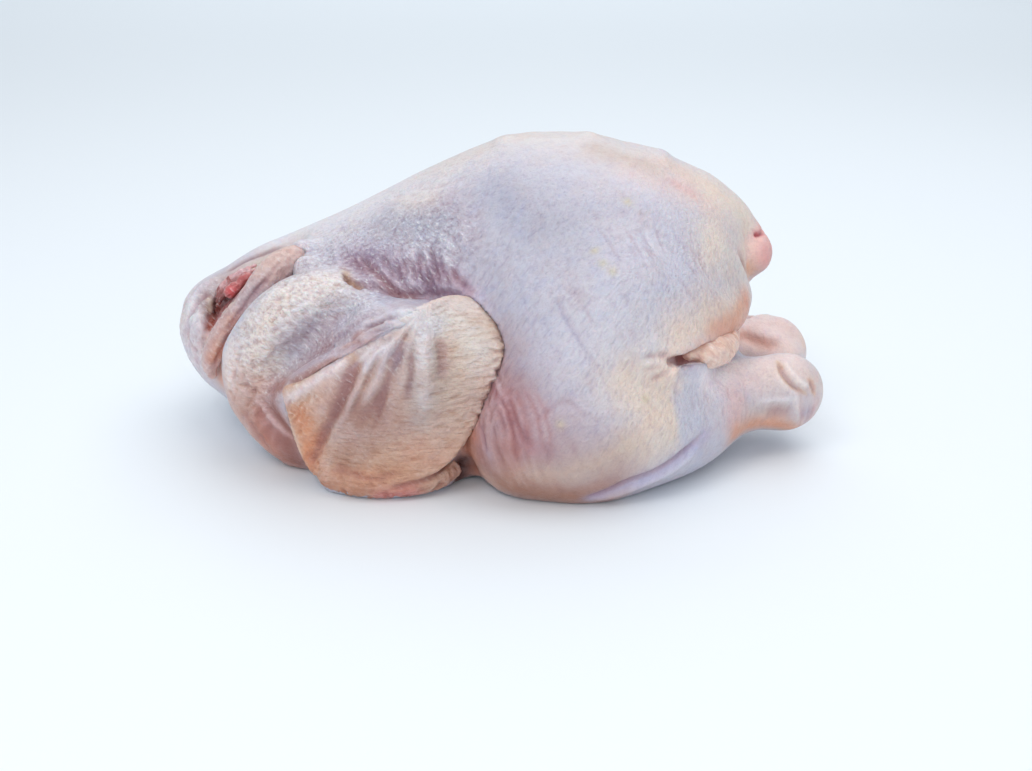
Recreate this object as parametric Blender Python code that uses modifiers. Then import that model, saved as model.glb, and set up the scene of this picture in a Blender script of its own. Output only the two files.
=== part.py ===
"""Whole raw chicken, plucked and drawn, lying breast down with its legs folded under it.

One solid. The frame is +X towards the tail, +Y towards the bird's far side, +Z up, in metres, with the
origin under the middle of the bounding box, on the surface that the bird lies on. Each sub-part (trunk,
thigh, drumstick, wing, neck skin, tail) starts as a closed form of its own. A voxel remesh fuses them,
smoothing gives them one skin, and the folds that are too tight for that are pressed in afterwards.
Points and sizes below are in millimetres.
"""

import math

import bmesh
import bpy
import numpy as np
from mathutils import Euler, Vector
from mathutils.bvhtree import BVHTree

MM = 0.001

# Driving dimensions. They fix the proportions of everything below.
FRONT = -142  # the neck skin's front end, along X
BODY_LENGTH = 237  # from there to the root of the tail
BACK_HEIGHT = 123  # the surface to the highest point of the back
TRUNK_HALF_WIDTH = 60  # the trunk alone, without thighs and wings
WING_REACH = 76  # how far the wing's outer face stands from the middle plane
HOCK_RADIUS = 17.5
KNEE_RADIUS = 28
SINK = 6  # soft flesh spreads where it rests: the forms reach this far down, and are cut at the surface

# How finely the flesh is fused, and how many triangles the finished solid may have.
VOXEL = 2.0
WANTED_TRIANGLES = 9700

NEAR, FAR = -1, 1  # the bird's two sides, as signs of Y


# ---------------------------------------------------------------- helpers


def clear_scene():
    for item in list(bpy.data.objects):
        bpy.data.objects.remove(item, do_unlink=True)


def add_mesh(name, bm, collection):
    """A new object in the collection from a bmesh in millimetres."""
    bmesh.ops.scale(bm, vec=(MM, MM, MM), verts=bm.verts)
    bmesh.ops.recalc_face_normals(bm, faces=bm.faces)
    mesh = bpy.data.meshes.new(name)
    bm.to_mesh(mesh)
    bm.free()
    made = bpy.data.objects.new(name, mesh)
    collection.objects.link(made)
    return made


def smooth_path(points, per_span=6):
    """Rows of numbers along a Catmull-Rom curve through the given rows, ends included."""
    rows = np.asarray(points, float)
    padded = np.vstack([2 * rows[0] - rows[1], rows, 2 * rows[-1] - rows[-2]])
    found = []
    for i in range(1, len(padded) - 2):
        a, b, c, d = padded[i - 1 : i + 3]
        for t in np.arange(per_span) / per_span:
            linear = (c - a) * t
            square = (2 * a - 5 * b + 4 * c - d) * t**2
            cube = (3 * b - a - 3 * c + d) * t**3
            found.append(0.5 * (2 * b + linear + square + cube))
    return np.array(found + [rows[-1]])


def ball(name, centre, radii, tilt, collection):
    """An ellipsoid with three radii, turned by tilt, in degrees."""
    bm = bmesh.new()
    bmesh.ops.create_uvsphere(bm, u_segments=32, v_segments=20, radius=1)
    bmesh.ops.scale(bm, vec=radii, verts=bm.verts)
    turn = Euler([math.radians(angle) for angle in tilt]).to_matrix()
    bmesh.ops.rotate(bm, cent=(0, 0, 0), matrix=turn, verts=bm.verts)
    bmesh.ops.translate(bm, vec=centre, verts=bm.verts)
    return add_mesh(name, bm, collection)


def limb(name, joints, collection):
    """A rounded bar through joints, each (x, y, z, radius): a bevelled curve and a ball on each end."""
    curve = bpy.data.curves.new(name, "CURVE")
    curve.dimensions = "3D"
    curve.bevel_depth = 1.0
    curve.bevel_resolution = 6
    curve.use_fill_caps = True
    path = smooth_path(joints)
    spline = curve.splines.new("POLY")
    spline.points.add(len(path) - 1)
    for point, (x, y, z, radius) in zip(spline.points, path):
        point.co = (x, y, z, 1)
        point.radius = radius
    guide = bpy.data.objects.new(name + "_guide", curve)
    collection.objects.link(guide)
    bpy.context.view_layer.update()
    tube = bpy.data.meshes.new_from_object(guide.evaluated_get(bpy.context.evaluated_depsgraph_get()))
    bpy.data.objects.remove(guide)
    bm = bmesh.new()
    bm.from_mesh(tube)
    bpy.data.meshes.remove(tube)
    bmesh.ops.remove_doubles(bm, verts=bm.verts, dist=0.01)
    for x, y, z, radius in (joints[0], joints[-1]):
        cap = bmesh.ops.create_uvsphere(bm, u_segments=24, v_segments=16, radius=radius)
        bmesh.ops.translate(bm, vec=(x, y, z), verts=cap["verts"])
    return add_mesh(name, bm, collection)


def skin_rings(name, rings, collection):
    """A closed form from a row of closed rings with equally many points, its two end rings filled."""
    bm = bmesh.new()
    rows = [[bm.verts.new(point) for point in ring] for ring in rings]
    for one, two in zip(rows, rows[1:]):
        for i in range(len(one)):
            j = (i + 1) % len(one)
            bm.faces.new((one[i], one[j], two[j], two[i]))
    bm.faces.new(rows[0])
    bm.faces.new(rows[-1])
    return add_mesh(name, bm, collection)


def loft(name, stations, collection, sides=40):
    """A closed form along X through sections (x, half width, lowest z, highest z, widest z, squareness)."""
    rings = []
    for x, half_width, low, high, widest, power in smooth_path(stations):
        ring = []
        for i in range(sides):
            angle = 2 * math.pi * i / sides
            across = math.copysign(abs(math.cos(angle)) ** (2 / power), math.cos(angle))
            up = math.copysign(abs(math.sin(angle)) ** (2 / power), math.sin(angle))
            height = (high - widest) if up > 0 else (widest - low)
            ring.append((x, half_width * across, widest + height * up))
        rings.append(ring)
    return skin_rings(name, rings, collection)


def fuse(name, forms, voxel, smoothing, collection):
    """One object from several closed forms: joined, voxel remeshed into one surface, then smoothed."""
    graph = bpy.context.evaluated_depsgraph_get()
    bm = bmesh.new()
    for form in forms:
        bm.from_mesh(form.evaluated_get(graph).data)
    mesh = bpy.data.meshes.new(name)
    bm.to_mesh(mesh)
    bm.free()
    fused = bpy.data.objects.new(name, mesh)
    collection.objects.link(fused)
    remesh = fused.modifiers.new("fuse", "REMESH")
    remesh.mode = "VOXEL"
    remesh.voxel_size = voxel * MM
    if smoothing:
        soften = fused.modifiers.new("soften", "SMOOTH")
        soften.factor = 0.5
        soften.iterations = smoothing
    bpy.context.view_layer.update()
    fused.data = bpy.data.meshes.new_from_object(fused.evaluated_get(bpy.context.evaluated_depsgraph_get()))
    fused.modifiers.clear()
    for form in forms:
        bpy.data.objects.remove(form)
    return fused


# ---------------------------------------------------------------- trunk


def trunk(collection):
    """Breast, back and rump, as sections from the neck skin to the rump."""
    width, top = TRUNK_HALF_WIDTH, BACK_HEIGHT
    stations = [
        # x, half width, lowest, highest, widest z, squareness
        (FRONT + 1, 8, 38, 50, 44, 2.0),
        (FRONT + 5, 17, 29, 56, 43, 2.0),
        (FRONT + 13, 28, 17, 61, 40, 2.0),
        (FRONT + 24, 38, 7, 66, 36, 2.1),
        (FRONT + 42, 49, -SINK, 76, 34, 2.2),
        (FRONT + 72, 0.92 * width, -SINK, 0.728 * top, 38, 2.2),
        (FRONT + 102, 0.95 * width, -SINK, 0.86 * top, 44, 2.1),
        (FRONT + 130, width, -SINK, 0.962 * top, 50, 2.1),
        (FRONT + 152, 1.02 * width, -SINK, top, 52, 2.1),
        (FRONT + 182, 0.98 * width, -SINK, 0.978 * top, 56, 2.1),
        (FRONT + 200, 0.88 * width, 10, 0.935 * top, 60, 2.1),
        (FRONT + 216, 0.74 * width, 30, 0.880 * top, 66, 2.0),
        (FRONT + 229, 0.50 * width, 46, 0.800 * top, 70, 2.0),
        (FRONT + BODY_LENGTH, 0.20 * width, 58, 0.700 * top, 72, 2.0),
    ]
    return loft("trunk", stations, collection)


def tail(collection):
    """The fatty nub that carries the tail feathers: a root, two lobes and a pointed lower tip."""
    return [
        limb("tail_root", [(70, 0, 94, 16), (83, 0, 88, 13), (94, 0, 78, 10)], collection),
        ball("tail_lobe_near", (97, -6, 75), (10, 8, 10), (0, 30, 0), collection),
        ball("tail_lobe_far", (97, 6, 75), (10, 8, 10), (0, 30, 0), collection),
        limb("tail_tip", [(98, 0, 71, 7), (99, 0, 64, 3)], collection),
    ]


# ---------------------------------------------------------------- legs


def leg(side, hock, collection):
    """Thigh, knee and drumstick of one side, down to the hock at (x, distance from the middle plane, z)."""
    x, away, z = hock
    hock = (x, side * away, z)
    knee = (8, side * 66, 22)
    return [
        ball(f"thigh_{side}", (23, side * 44, 52), (54, 36, 50), (side * 26, -16, 0), collection),
        limb(f"thigh_core_{side}", [(34, side * 44, 66, 32), (20, side * 52, 38, 36)], collection),
        ball(f"thigh_low_{side}", (22, side * 58, 23), (43, 37, 35), (0, 0, side * 4), collection),
        limb(
            f"drumstick_{side}",
            [
                (*knee, KNEE_RADIUS),
                (38, side * 63, 23, 28),
                (62, side * 52, 20, 22),
                (84, side * 0.5 * (44 + away), 21, 16.5),
                (0.5 * (88 + x), side * (away + 3), z, HOCK_RADIUS * 0.9),
                (*hock, HOCK_RADIUS * 0.9),
            ],
            collection,
        ),
        ball(f"hock_{side}", (hock[0] - 2, hock[1], z), (HOCK_RADIUS,) * 3, (0, 0, 0), collection),
    ]


def rear(collection):
    """The skin that hangs behind the thighs, and the fat that closes the belly between the legs."""
    forms = []
    for side in (NEAR, FAR):
        flank = [
            (46, side * 50, 62, 18),
            (64, side * 46, 61, 15),
            (80, side * 32, 58, 11),
            (89, side * 16, 61, 8),
        ]
        forms.append(limb(f"flank_{side}", flank, collection))
        turn = (0, -14, side * -24)
        forms.append(ball(f"belly_fat_{side}", (74, side * 20, 34), (19, 17, 14), turn, collection))
    return forms


# ---------------------------------------------------------------- wings


def wing_fan(side, collection):
    """The folded forearm and its web of skin: sections swung round the elbow, from shoulder to tip.

    Each row is (angle round the elbow in degrees, radius, how far the rim stands out beside the elbow).
    """
    elbow = (-32, WING_REACH, 69)
    rows = [
        (34, 9, -8),
        (10, 16, -8),
        (-14, 25, -7),
        (-36, 33, -5),
        (-56, 37, -3),
        (-75, 50, -1),
        (-90, 63, 3),
        (-104, 71, 7),
        (-118, 76, 6),
        (-129, 74, 2),
        (-139, 71, 0),
        (-149, 71, -2),
        (-156, 58, -4),
    ]
    thickness = 14
    rings = []
    for degrees, radius, stand in smooth_path(rows, per_span=4):
        along = (math.cos(math.radians(degrees)), math.sin(math.radians(degrees)))
        ring = []
        for step in range(20):
            turn = 2 * math.pi * step / 20
            reach = 0.5 * (1 - math.cos(turn))
            swell = abs(math.sin(turn)) ** 0.6
            out = elbow[1] + stand * reach + 2.5 * math.sin(math.pi * reach)
            depth = 0.5 * thickness * (1 + 0.3 * (1 - reach)) * swell
            out += -0.5 * thickness + math.copysign(depth, math.sin(turn))
            x = elbow[0] + radius * reach * along[0]
            z = elbow[2] + radius * reach * along[1]
            ring.append((x, side * out, z))
        rings.append(ring)
    return skin_rings(f"wing_fan_{side}", rings, collection)


def wing(side, collection):
    """Upper arm, elbow, folded forearm and tucked tip of one side."""
    y = side
    return [
        limb(
            f"upper_arm_{side}",
            [
                (-54, y * 46, 56, 18),
                (-76, y * 44, 57, 20),
                (-93, y * 44, 46, 20),
                (-95, y * 46, 28, 18),
                (-86, y * 52, 15, 15),
                (-72, y * 58, 10, 10),
            ],
            collection,
        ),
        limb(
            f"forearm_{side}",
            [(-40, y * 63, 63, 11), (-58, y * 60, 56, 12), (-78, y * 60, 40, 11)],
            collection,
        ),
        ball(f"elbow_{side}", (-36, y * 66, 66), (13, 10, 9), (0, 0, 0), collection),
        wing_fan(side, collection),
        limb(
            f"wing_tip_{side}",
            [(-66, y * 74, 6, 9), (-46, y * 76, 6, 10), (-20, y * 66, 8, 8)],
            collection,
        ),
        limb(
            f"wing_backing_{side}",
            [(-84, y * 50, 8, 12), (-52, y * 60, 14, 14), (-28, y * 56, 24, 18)],
            collection,
        ),
    ]


# ---------------------------------------------------------------- neck


def neck_skin(collection):
    """The rolled lips of skin round the cut neck, and the lobe of breast skin in front of it."""
    return [
        limb(
            "neck_lip_near",
            [
                (-88, -21, 78, 6),
                (-96, -27, 71, 8),
                (-106, -32, 62, 8),
                (-114, -34, 52, 8),
                (-118, -34, 40, 7),
            ],
            collection,
        ),
        limb(
            "neck_lip_far",
            [(-90, 6, 75, 5), (-106, 4, 68, 6), (-120, 0, 59, 6), (-127, -8, 51, 6)],
            collection,
        ),
        ball("neck_lobe", (-126, -2, 43), (13, 22, 16), (0, -20, 0), collection),
    ]


# ---------------------------------------------------------------- folds


def line_distance(places, points):
    """How far each place is from a line through the points."""
    nearest = np.full(len(places), np.inf)
    for start, end in zip(points, points[1:]):
        span = end - start
        share = np.clip((places - start) @ span / (span @ span + 1e-9), 0, 1)
        gap = np.linalg.norm(places - start - share[:, None] * span, axis=1)
        nearest = np.minimum(nearest, gap)
    return nearest


def press(form, folds):
    """Push the surface in along each fold, as (points, half width, depth). A negative depth raises a ridge.

    A fold's points are moved to the nearest surface first, so they only need to lie close to it.
    """
    mesh = form.data
    for points, half_width, depth in folds:
        surface = BVHTree.FromPolygons([v.co for v in mesh.vertices], [f.vertices for f in mesh.polygons])
        line = [surface.find_nearest(Vector(point) * MM)[0] / MM for point in smooth_path(points)]
        places = np.empty(3 * len(mesh.vertices))
        mesh.vertices.foreach_get("co", places)
        places = places.reshape(-1, 3) / MM
        normals = np.empty(3 * len(mesh.vertices))
        mesh.vertex_normals.foreach_get("vector", normals)
        nearness = np.exp(-((line_distance(places, np.array(line)) / half_width) ** 2))
        places -= depth * nearness[:, None] * normals.reshape(-1, 3)
        mesh.vertices.foreach_set("co", (places * MM).ravel())
        mesh.update()


def mirrored(folds, side):
    return [([(x, side * away, z) for x, away, z in points], width, depth) for points, width, depth in folds]


def body_folds(side):
    """Where the thigh overhangs the drumstick, the pit at its front end, and the armpit over the wing."""
    folds = [
        ([(59, 73, 51), (66, 62, 49), (78, 46, 45), (90, 28, 43)], 3.0, 6.0),
        ([(90, 12, 84), (94, 13, 72), (97, 6, 62)], 3.0, 3.0),
        ([(-40, 62, 84), (-24, 66, 74), (-14, 72, 56)], 8.0, 4.0),
    ]
    return mirrored(folds, side)


def wing_folds(side):
    """Grooves and ridges that run out from the elbow over the wing, and the edge under its front flap."""
    folds = [
        ([(-58, 72, 50), (-63, 72, 42), (-68, 73, 31), (-73, 75, 22), (-79, 75, 13)], 3.5, 4.5),
        ([(-43, 76, 62), (-54, 76, 54), (-60, 77, 41), (-66, 78, 29), (-73, 78, 18)], 2.5, -2.5),
        ([(-42, 76, 57), (-47, 77, 46), (-51, 77, 36), (-54, 78, 30)], 3.0, 3.5),
        ([(-32, 78, 66), (-33, 78, 56), (-33, 79, 42)], 3.0, -1.5),
        ([(-27, 75, 60), (-27, 76, 50), (-28, 76, 42)], 3.0, 2.0),
        ([(-50, 70, 66), (-62, 68, 58), (-74, 66, 50), (-84, 64, 42)], 2.5, 3.5),
        ([(-66, 60, 68), (-78, 62, 55), (-92, 62, 45)], 5.0, 3.0),
    ]
    return mirrored(folds, side)


def neck_folds():
    """The slot in the skin over the cut neck, its deepest place, and the crease under the near lip."""
    return [
        ([(-95, -8, 78), (-105, -12, 71), (-114, -16, 63), (-122, -22, 54)], 7.0, 8.0),
        ([(-103, -12, 72), (-112, -17, 65), (-120, -23, 56)], 4.0, 7.0),
        ([(-116, -19, 61), (-119, -22, 58)], 4.0, 6.0),
        ([(-84, -27, 79), (-91, -34, 72), (-100, -40, 64), (-109, -43, 53), (-117, -42, 42)], 3.0, 5.0),
    ]


# ---------------------------------------------------------------- assembly


def thin_out(form, wanted):
    """Fewer, larger triangles, with the small ones kept where the surface bends most."""
    triangles = sum(len(face.vertices) - 2 for face in form.data.polygons)
    thin = form.modifiers.new("thin_out", "DECIMATE")
    thin.ratio = wanted / triangles
    thin.use_collapse_triangulate = True


def cut_at_surface(form, cutters):
    """A flat face to rest on: all that lies below Z = 0 is cut away."""
    depth = 3 * SINK
    bm = bmesh.new()
    bmesh.ops.create_cube(bm, size=1)
    bmesh.ops.scale(bm, vec=(600, 600, 2 * depth), verts=bm.verts)
    bmesh.ops.translate(bm, vec=(0, 0, -depth), verts=bm.verts)
    below = add_mesh("below_surface", bm, cutters)
    below.hide_render = True
    below.display_type = "WIRE"
    cut = form.modifiers.new("cut_at_surface", "BOOLEAN")
    cut.operation = "DIFFERENCE"
    cut.solver = "EXACT"
    cut.object = below


def set_origin(form):
    """Puts the middle of the form's bounding box over the origin."""
    for axis in (0, 1):
        across = [v.co[axis] for v in form.data.vertices]
        middle = 0.5 * (min(across) + max(across))
        for v in form.data.vertices:
            v.co[axis] -= middle


def skin_material():
    skin = bpy.data.materials.new("raw_skin")
    skin.use_nodes = True
    shader = skin.node_tree.nodes["Principled BSDF"]
    shader.inputs["Base Color"].default_value = (0.62, 0.46, 0.42, 1)
    shader.inputs["Roughness"].default_value = 0.42
    shader.inputs["Metallic"].default_value = 0.0
    return skin


def main():
    clear_scene()
    flesh = bpy.data.collections.new("whole_raw_chicken")
    bpy.context.scene.collection.children.link(flesh)
    cutters = bpy.data.collections.new("cutters")
    bpy.context.scene.collection.children.link(cutters)
    forms = [trunk(flesh), *tail(flesh), *rear(flesh)]
    forms += leg(NEAR, (111, 27, 21.5), flesh)
    forms += leg(FAR, (118, 35, 18.5), flesh)
    body = fuse("body", forms, VOXEL, 12, flesh)
    details = [body, *neck_skin(flesh)]
    for side in (NEAR, FAR):
        details += wing(side, flesh)
    folded = fuse("folded", details, VOXEL, 4, flesh)
    press(folded, neck_folds())
    for side in (NEAR, FAR):
        press(folded, body_folds(side) + wing_folds(side))
    chicken = fuse("chicken", [folded], VOXEL, 2, flesh)
    set_origin(chicken)
    thin_out(chicken, WANTED_TRIANGLES)
    cut_at_surface(chicken, cutters)
    chicken.data.materials.append(skin_material())
    chicken.data.shade_smooth()


main()
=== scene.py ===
"""Looks for the whole raw chicken: the skin of the body, the two folded wings, the cut neck with its flesh,
the fat between the legs, a pale floor, soft studio light and the camera.

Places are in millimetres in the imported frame: +X towards the tail, -Y towards the side that the camera sees,
and Z up from the surface that the bird lies on. Points are given for the near side, and the far side mirrors
them. Each form is closed, gets an even fine mesh, then its folds and wrinkles, and then its colours, laid on
like an airbrush's.
"""

import math

import bmesh
import bpy
import numpy as np
from mathutils import Matrix, Vector, noise
from mathutils.bvhtree import BVHTree


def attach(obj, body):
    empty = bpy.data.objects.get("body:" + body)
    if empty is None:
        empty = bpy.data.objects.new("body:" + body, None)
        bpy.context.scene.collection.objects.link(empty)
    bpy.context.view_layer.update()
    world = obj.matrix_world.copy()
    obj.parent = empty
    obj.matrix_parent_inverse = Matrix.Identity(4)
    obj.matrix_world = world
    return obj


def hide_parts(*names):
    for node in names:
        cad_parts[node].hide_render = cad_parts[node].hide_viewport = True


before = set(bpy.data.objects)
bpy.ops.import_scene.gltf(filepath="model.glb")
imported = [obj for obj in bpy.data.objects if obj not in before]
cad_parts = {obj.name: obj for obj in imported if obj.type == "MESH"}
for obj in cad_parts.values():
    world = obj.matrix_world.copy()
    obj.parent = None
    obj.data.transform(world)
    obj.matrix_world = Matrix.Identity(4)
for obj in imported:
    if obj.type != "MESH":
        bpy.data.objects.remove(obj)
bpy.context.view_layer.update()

MM = 0.001
NEAR, FAR = -1, 1  # the bird's two sides, as signs of Y
BOTH = (NEAR, FAR)

# Camera and stage, in metres and degrees.
CAMERA_PLACE = (0.0041, -0.4956, 0.21)
CAMERA_PITCH = 21.63
CAMERA_ROLL = 0.98
LENS = 42.87
SENSOR = 36.0
FLOOR_SIZE = 14.0

# Mesh sizes, in millimetres, triangles and vertices.
BODY_VOXEL = 0.9
FAT_VOXEL = 0.6
FINE_VOXEL = 0.5
FLESH_VOXEL = 0.4
BODY_TRIANGLES = 192000
WING_TRIANGLES = 130000
TUBE_SIDES = 24
SPECK = 200  # a closed scrap with fewer vertices is deleted

# How folds and wrinkles are laid.
OUTSIDE = 200.0  # a distance from the middle that is well clear of the bird
FLANK = 70.0  # the flank's usual distance from the middle
RIDGE_GAIN = 3.2  # turns noise into narrow ridges
SWELL_GAIN = 1.6  # turns noise into soft swells, -1 to 1
RAY_RADIUS = 20.0  # where gathered streaks have the spacing that they are given
FAINT = 0.02  # the least of a mask that counts
SOFT_REACH = 2.2  # how many radii out a mask or a soft stroke is still felt
HARD_REACH = 1.3  # and a hard one
HARD_EDGE = (0.75, 1.2)  # the radii where a hard stroke starts to fade and is gone
# How squarely skin has to face a line's way for the line to start to count, and to count in full.
FOLD_FACING = (-0.2, 0.3)
MASK_FACING = (-0.3, 0.2)
STROKE_FACING = (-0.4, 0.1)
# Painted shade in low skin and painted highlight on high skin, laid on from the relief.
FULL_RELIEF = 0.7  # relief that takes most of its shade
LOW_SHADE = (0.55, 1.0, 0.9)  # the red, green and blue that low skin loses
HIGH_SHINE = (0.9, 0.9, 1.0)  # and that high skin gains


# ---------------------------------------------------------------- small helpers


def linear(red, green, blue):
    """An sRGB colour, 0 to 255, as the linear numbers that shaders use."""
    share = np.array([red, green, blue], float) / 255
    return np.where(share <= 0.04045, share / 12.92, ((share + 0.055) / 1.055) ** 2.4)


def smooth_path(points, per_span=6):
    """Points along a Catmull-Rom curve through the given points, ends included."""
    rows = np.asarray(points, float)
    if len(rows) == 1:
        return np.vstack([rows, rows])
    padded = np.vstack([2 * rows[0] - rows[1], rows, 2 * rows[-1] - rows[-2]])
    found = []
    for i in range(1, len(padded) - 2):
        a, b, c, d = padded[i - 1 : i + 3]
        for t in np.arange(per_span) / per_span:
            bend = (2 * a - 5 * b + 4 * c - d) * t**2 + (3 * b - a - 3 * c + d) * t**3
            found.append(0.5 * (2 * b + (c - a) * t + bend))
    return np.array(found + [rows[-1]])


def step(low, high, numbers):
    """0 below low, 1 above high, and a smooth rise between."""
    share = np.clip((numbers - low) / (high - low), 0, 1)
    return share * share * (3 - 2 * share)


def depth_inside(outline, spots):
    """How far each two-number spot is inside a closed outline; less than 0 outside."""
    ends = np.roll(outline, -1, axis=0)
    gap = np.full(len(spots), np.inf)
    inside = np.zeros(len(spots), bool)
    for (x1, z1), (x2, z2) in zip(outline, ends):
        span = np.array((x2 - x1, z2 - z1))
        part = np.clip((spots - (x1, z1)) @ span / (span @ span), 0, 1)
        gap = np.minimum(gap, np.linalg.norm(spots - (x1, z1) - part[:, None] * span, axis=1))
        crosses = (z1 > spots[:, 1]) != (z2 > spots[:, 1])
        at = x1 + (spots[:, 1] - z1) * (x2 - x1) / (z2 - z1 if z2 != z1 else 1)
        inside ^= crosses & (spots[:, 0] < at)
    return np.where(inside, gap, -gap)


def grain(places, spacing, direction, length, seed, ridged=True):
    """Streaks of noise, -1 to 1: spacing apart, and length times longer along a direction."""
    axis = np.array(direction, float)
    axis /= np.linalg.norm(axis)
    along = places @ axis
    squeezed = (places - along[:, None] * axis * (1 - 1 / length)) / spacing + seed
    found = np.array([noise.noise(Vector(spot)) for spot in squeezed])
    return 1 - RIDGE_GAIN * np.abs(found) if ridged else found * SWELL_GAIN


def rays(places, focus, spacing, length, seed):
    """Streaks of noise that run together towards a focus (x, z): spacing apart at RAY_RADIUS from it."""
    x, z = places[:, 0] - focus[0], places[:, 2] - focus[1]
    turn, far = np.arctan2(z, x) * RAY_RADIUS / spacing, np.hypot(x, z) / (spacing * length)
    spots = np.stack([turn, far, np.full(len(x), seed)], axis=1)
    return 1 - RIDGE_GAIN * np.abs(np.array([noise.noise(Vector(spot)) for spot in spots]))


class Skin:
    """A piece's surface as arrays: places in millimetres, normals, and the fine relief that has been laid on
    it. Its methods take points for the near side and work on the side in hand. A point of two numbers, x and
    z, is looked for straight in from that side."""

    def __init__(self, piece, side):
        self.piece = piece
        self.side = side
        mesh = piece.data
        flat = np.empty(3 * len(mesh.vertices))
        mesh.vertices.foreach_get("co", flat)
        self.places = flat.reshape(-1, 3) / MM
        self.relief = np.zeros(len(self.places))
        self.whole = np.ones(len(self.places))
        self.renew()

    def renew(self):
        """Writes the places to the mesh and reads its normals and surface afresh."""
        mesh = self.piece.data
        mesh.vertices.foreach_set("co", (self.places * MM).ravel())
        mesh.update()
        flat = np.empty(3 * len(mesh.vertices))
        mesh.vertex_normals.foreach_get("vector", flat)
        self.normals = flat.reshape(-1, 3).copy()
        corners = np.empty(len(mesh.loops), int)
        mesh.loops.foreach_get("vertex_index", corners)
        starts = np.empty(len(mesh.polygons), int)
        mesh.polygons.foreach_get("loop_start", starts)
        faces = [part.tolist() for part in np.split(corners, starts[1:])]
        self.surface = BVHTree.FromPolygons((self.places * MM).tolist(), faces)

    def shift(self, points, width, move):
        """Moves everything round a line, which may lie inside the form, by an amount."""
        gap = np.full(len(self.places), np.inf)
        for spot in smooth_path(points):
            gap = np.minimum(gap, np.linalg.norm(self.places - spot * (1, -self.side, 1), axis=1))
        self.places += np.exp(-((gap / width) ** 2))[:, None] * np.array(move)

    def push(self, which, heights, fine=True):
        """Moves vertices out along their normals, and counts that as relief if it is fine."""
        self.places[which] += heights[:, None] * self.normals[which]
        if fine:
            self.relief[which] += heights

    def lay(self, points):
        """A smooth line through points, moved on to the surface, and the surface's normals along it."""
        line, out = [], []
        for point in smooth_path(points):
            hit = (None,)
            if len(point) == 2:
                start = Vector((point[0], self.side * OUTSIDE, point[1])) * MM
                hit = self.surface.ray_cast(start, (0, -self.side, 0))
                point = (point[0], -FLANK, point[1])
            if hit[0] is None:
                x, y, z = point
                hit = self.surface.find_nearest(Vector((x, -self.side * y, z)) * MM)
            line.append(np.array(hit[0]) / MM)
            out.append(np.array(hit[1]))
        return np.array(line), np.array(out)

    def near(self, points, reach):
        """The vertices within reach of a line: which they are, how far they are, how far across it (right is
        more than 0, seen from the near side) and along it (0 to 1), and how squarely they face its way."""
        line, out = self.lay(points)
        low, high = line.min(axis=0) - reach, line.max(axis=0) + reach
        which = np.flatnonzero(np.all((self.places > low) & (self.places < high), axis=1))
        spots, normals = self.places[which], self.normals[which]
        gap = np.full(len(which), np.inf)
        across, along, facing = np.zeros(len(which)), np.zeros(len(which)), np.zeros(len(which))
        for i in range(len(line) - 1):
            span = line[i + 1] - line[i]
            part = np.clip((spots - line[i]) @ span / (span @ span + 1e-9), 0, 1)
            offset = spots - line[i] - part[:, None] * span
            far = np.linalg.norm(offset, axis=1)
            closer = far < gap
            gap = np.where(closer, far, gap)
            right = -self.side * np.cross(span, out[i])
            right /= np.linalg.norm(right) + 1e-9
            across = np.where(closer, offset @ right, across)
            along = np.where(closer, (i + part) / (len(line) - 1), along)
            facing = np.where(closer, normals @ out[i], facing)
        kept = gap < reach
        return which[kept], gap[kept], across[kept], along[kept], facing[kept]

    def crease(self, points, width, depth, taper=0.0, fine=True):
        """Pushes the surface in along a line, out for a negative depth. Taper thins a share of each end."""
        which, gap, _, along, facing = self.near(points, 3 * width)
        weight = np.exp(-((gap / width) ** 2)) * step(*FOLD_FACING, facing)
        if taper:
            weight *= step(0, taper, along) * step(0, taper, 1 - along)
        self.push(which, -depth * weight, fine)

    def lip(self, points, up, up_reach, down, down_reach, sharp, taper):
        """An edge of skin along a line: the surface stands up on its left, and drops on its right."""
        which, gap, across, along, facing = self.near(points, 3 * max(up_reach, down_reach))
        left = 0.5 * (1 - np.tanh(across / sharp))
        raised = left * up * np.exp(-np.abs(across) / up_reach)
        dropped = (1 - left) * down * np.exp(-((across / down_reach) ** 2))
        past_end = np.sqrt(np.maximum(gap**2 - across**2, 0))
        weight = np.exp(-((past_end / 3) ** 2)) * step(*FOLD_FACING, facing)
        weight *= step(0, taper, along + 1e-6) * step(0, taper, 1 - along + 1e-6)
        self.push(which, (raised - dropped) * weight)

    def patch(self, points, radius, all_round=False):
        """A soft mask, 0 to 1 for every vertex, round a line."""
        mask = np.zeros(len(self.places))
        which, gap, _, _, facing = self.near(points, SOFT_REACH * radius)
        mask[which] = np.exp(-((gap / radius) ** 4))
        if not all_round:
            mask[which] *= step(*MASK_FACING, facing)
        return mask

    def cover(self, where, height, pattern):
        """Lays relief up to height high over a mask. The pattern makes it, about -1 to 1, from places."""
        which = np.flatnonzero(where > FAINT)
        self.push(which, height * where[which] * pattern(self.places[which]))

    def ripple(self, where, spacing, direction, length, height, seed):
        """Irregular streaks: spacing apart, and length times as long as that along a direction."""
        self.cover(where, height, lambda spots: grain(spots, spacing, direction, length, seed))

    def gather(self, where, focus, spacing, length, height, seed):
        """Streaks that run together towards a focus (x, z)."""
        self.cover(where, height, lambda spots: rays(spots, focus, spacing, length, seed))

    def rows(self, where, spacing, height):
        """Rows of follicles one above another, each row broken into short scales."""

        def scales(spots):
            sway = grain(spots, 16.0, (1, 0, 0), 1.0, 7.7, ridged=False)
            level = spots[:, 2] / spacing + 0.5 * sway
            broken = grain(spots, 1.7, (1, 0, 0), 2.6, 2.2, ridged=False)
            wave = np.sin(2 * math.pi * (level + 0.3 * broken))
            return 0.75 * wave + 0.6 * broken

        self.cover(where, height, scales)


# ---------------------------------------------------------------- forms


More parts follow.
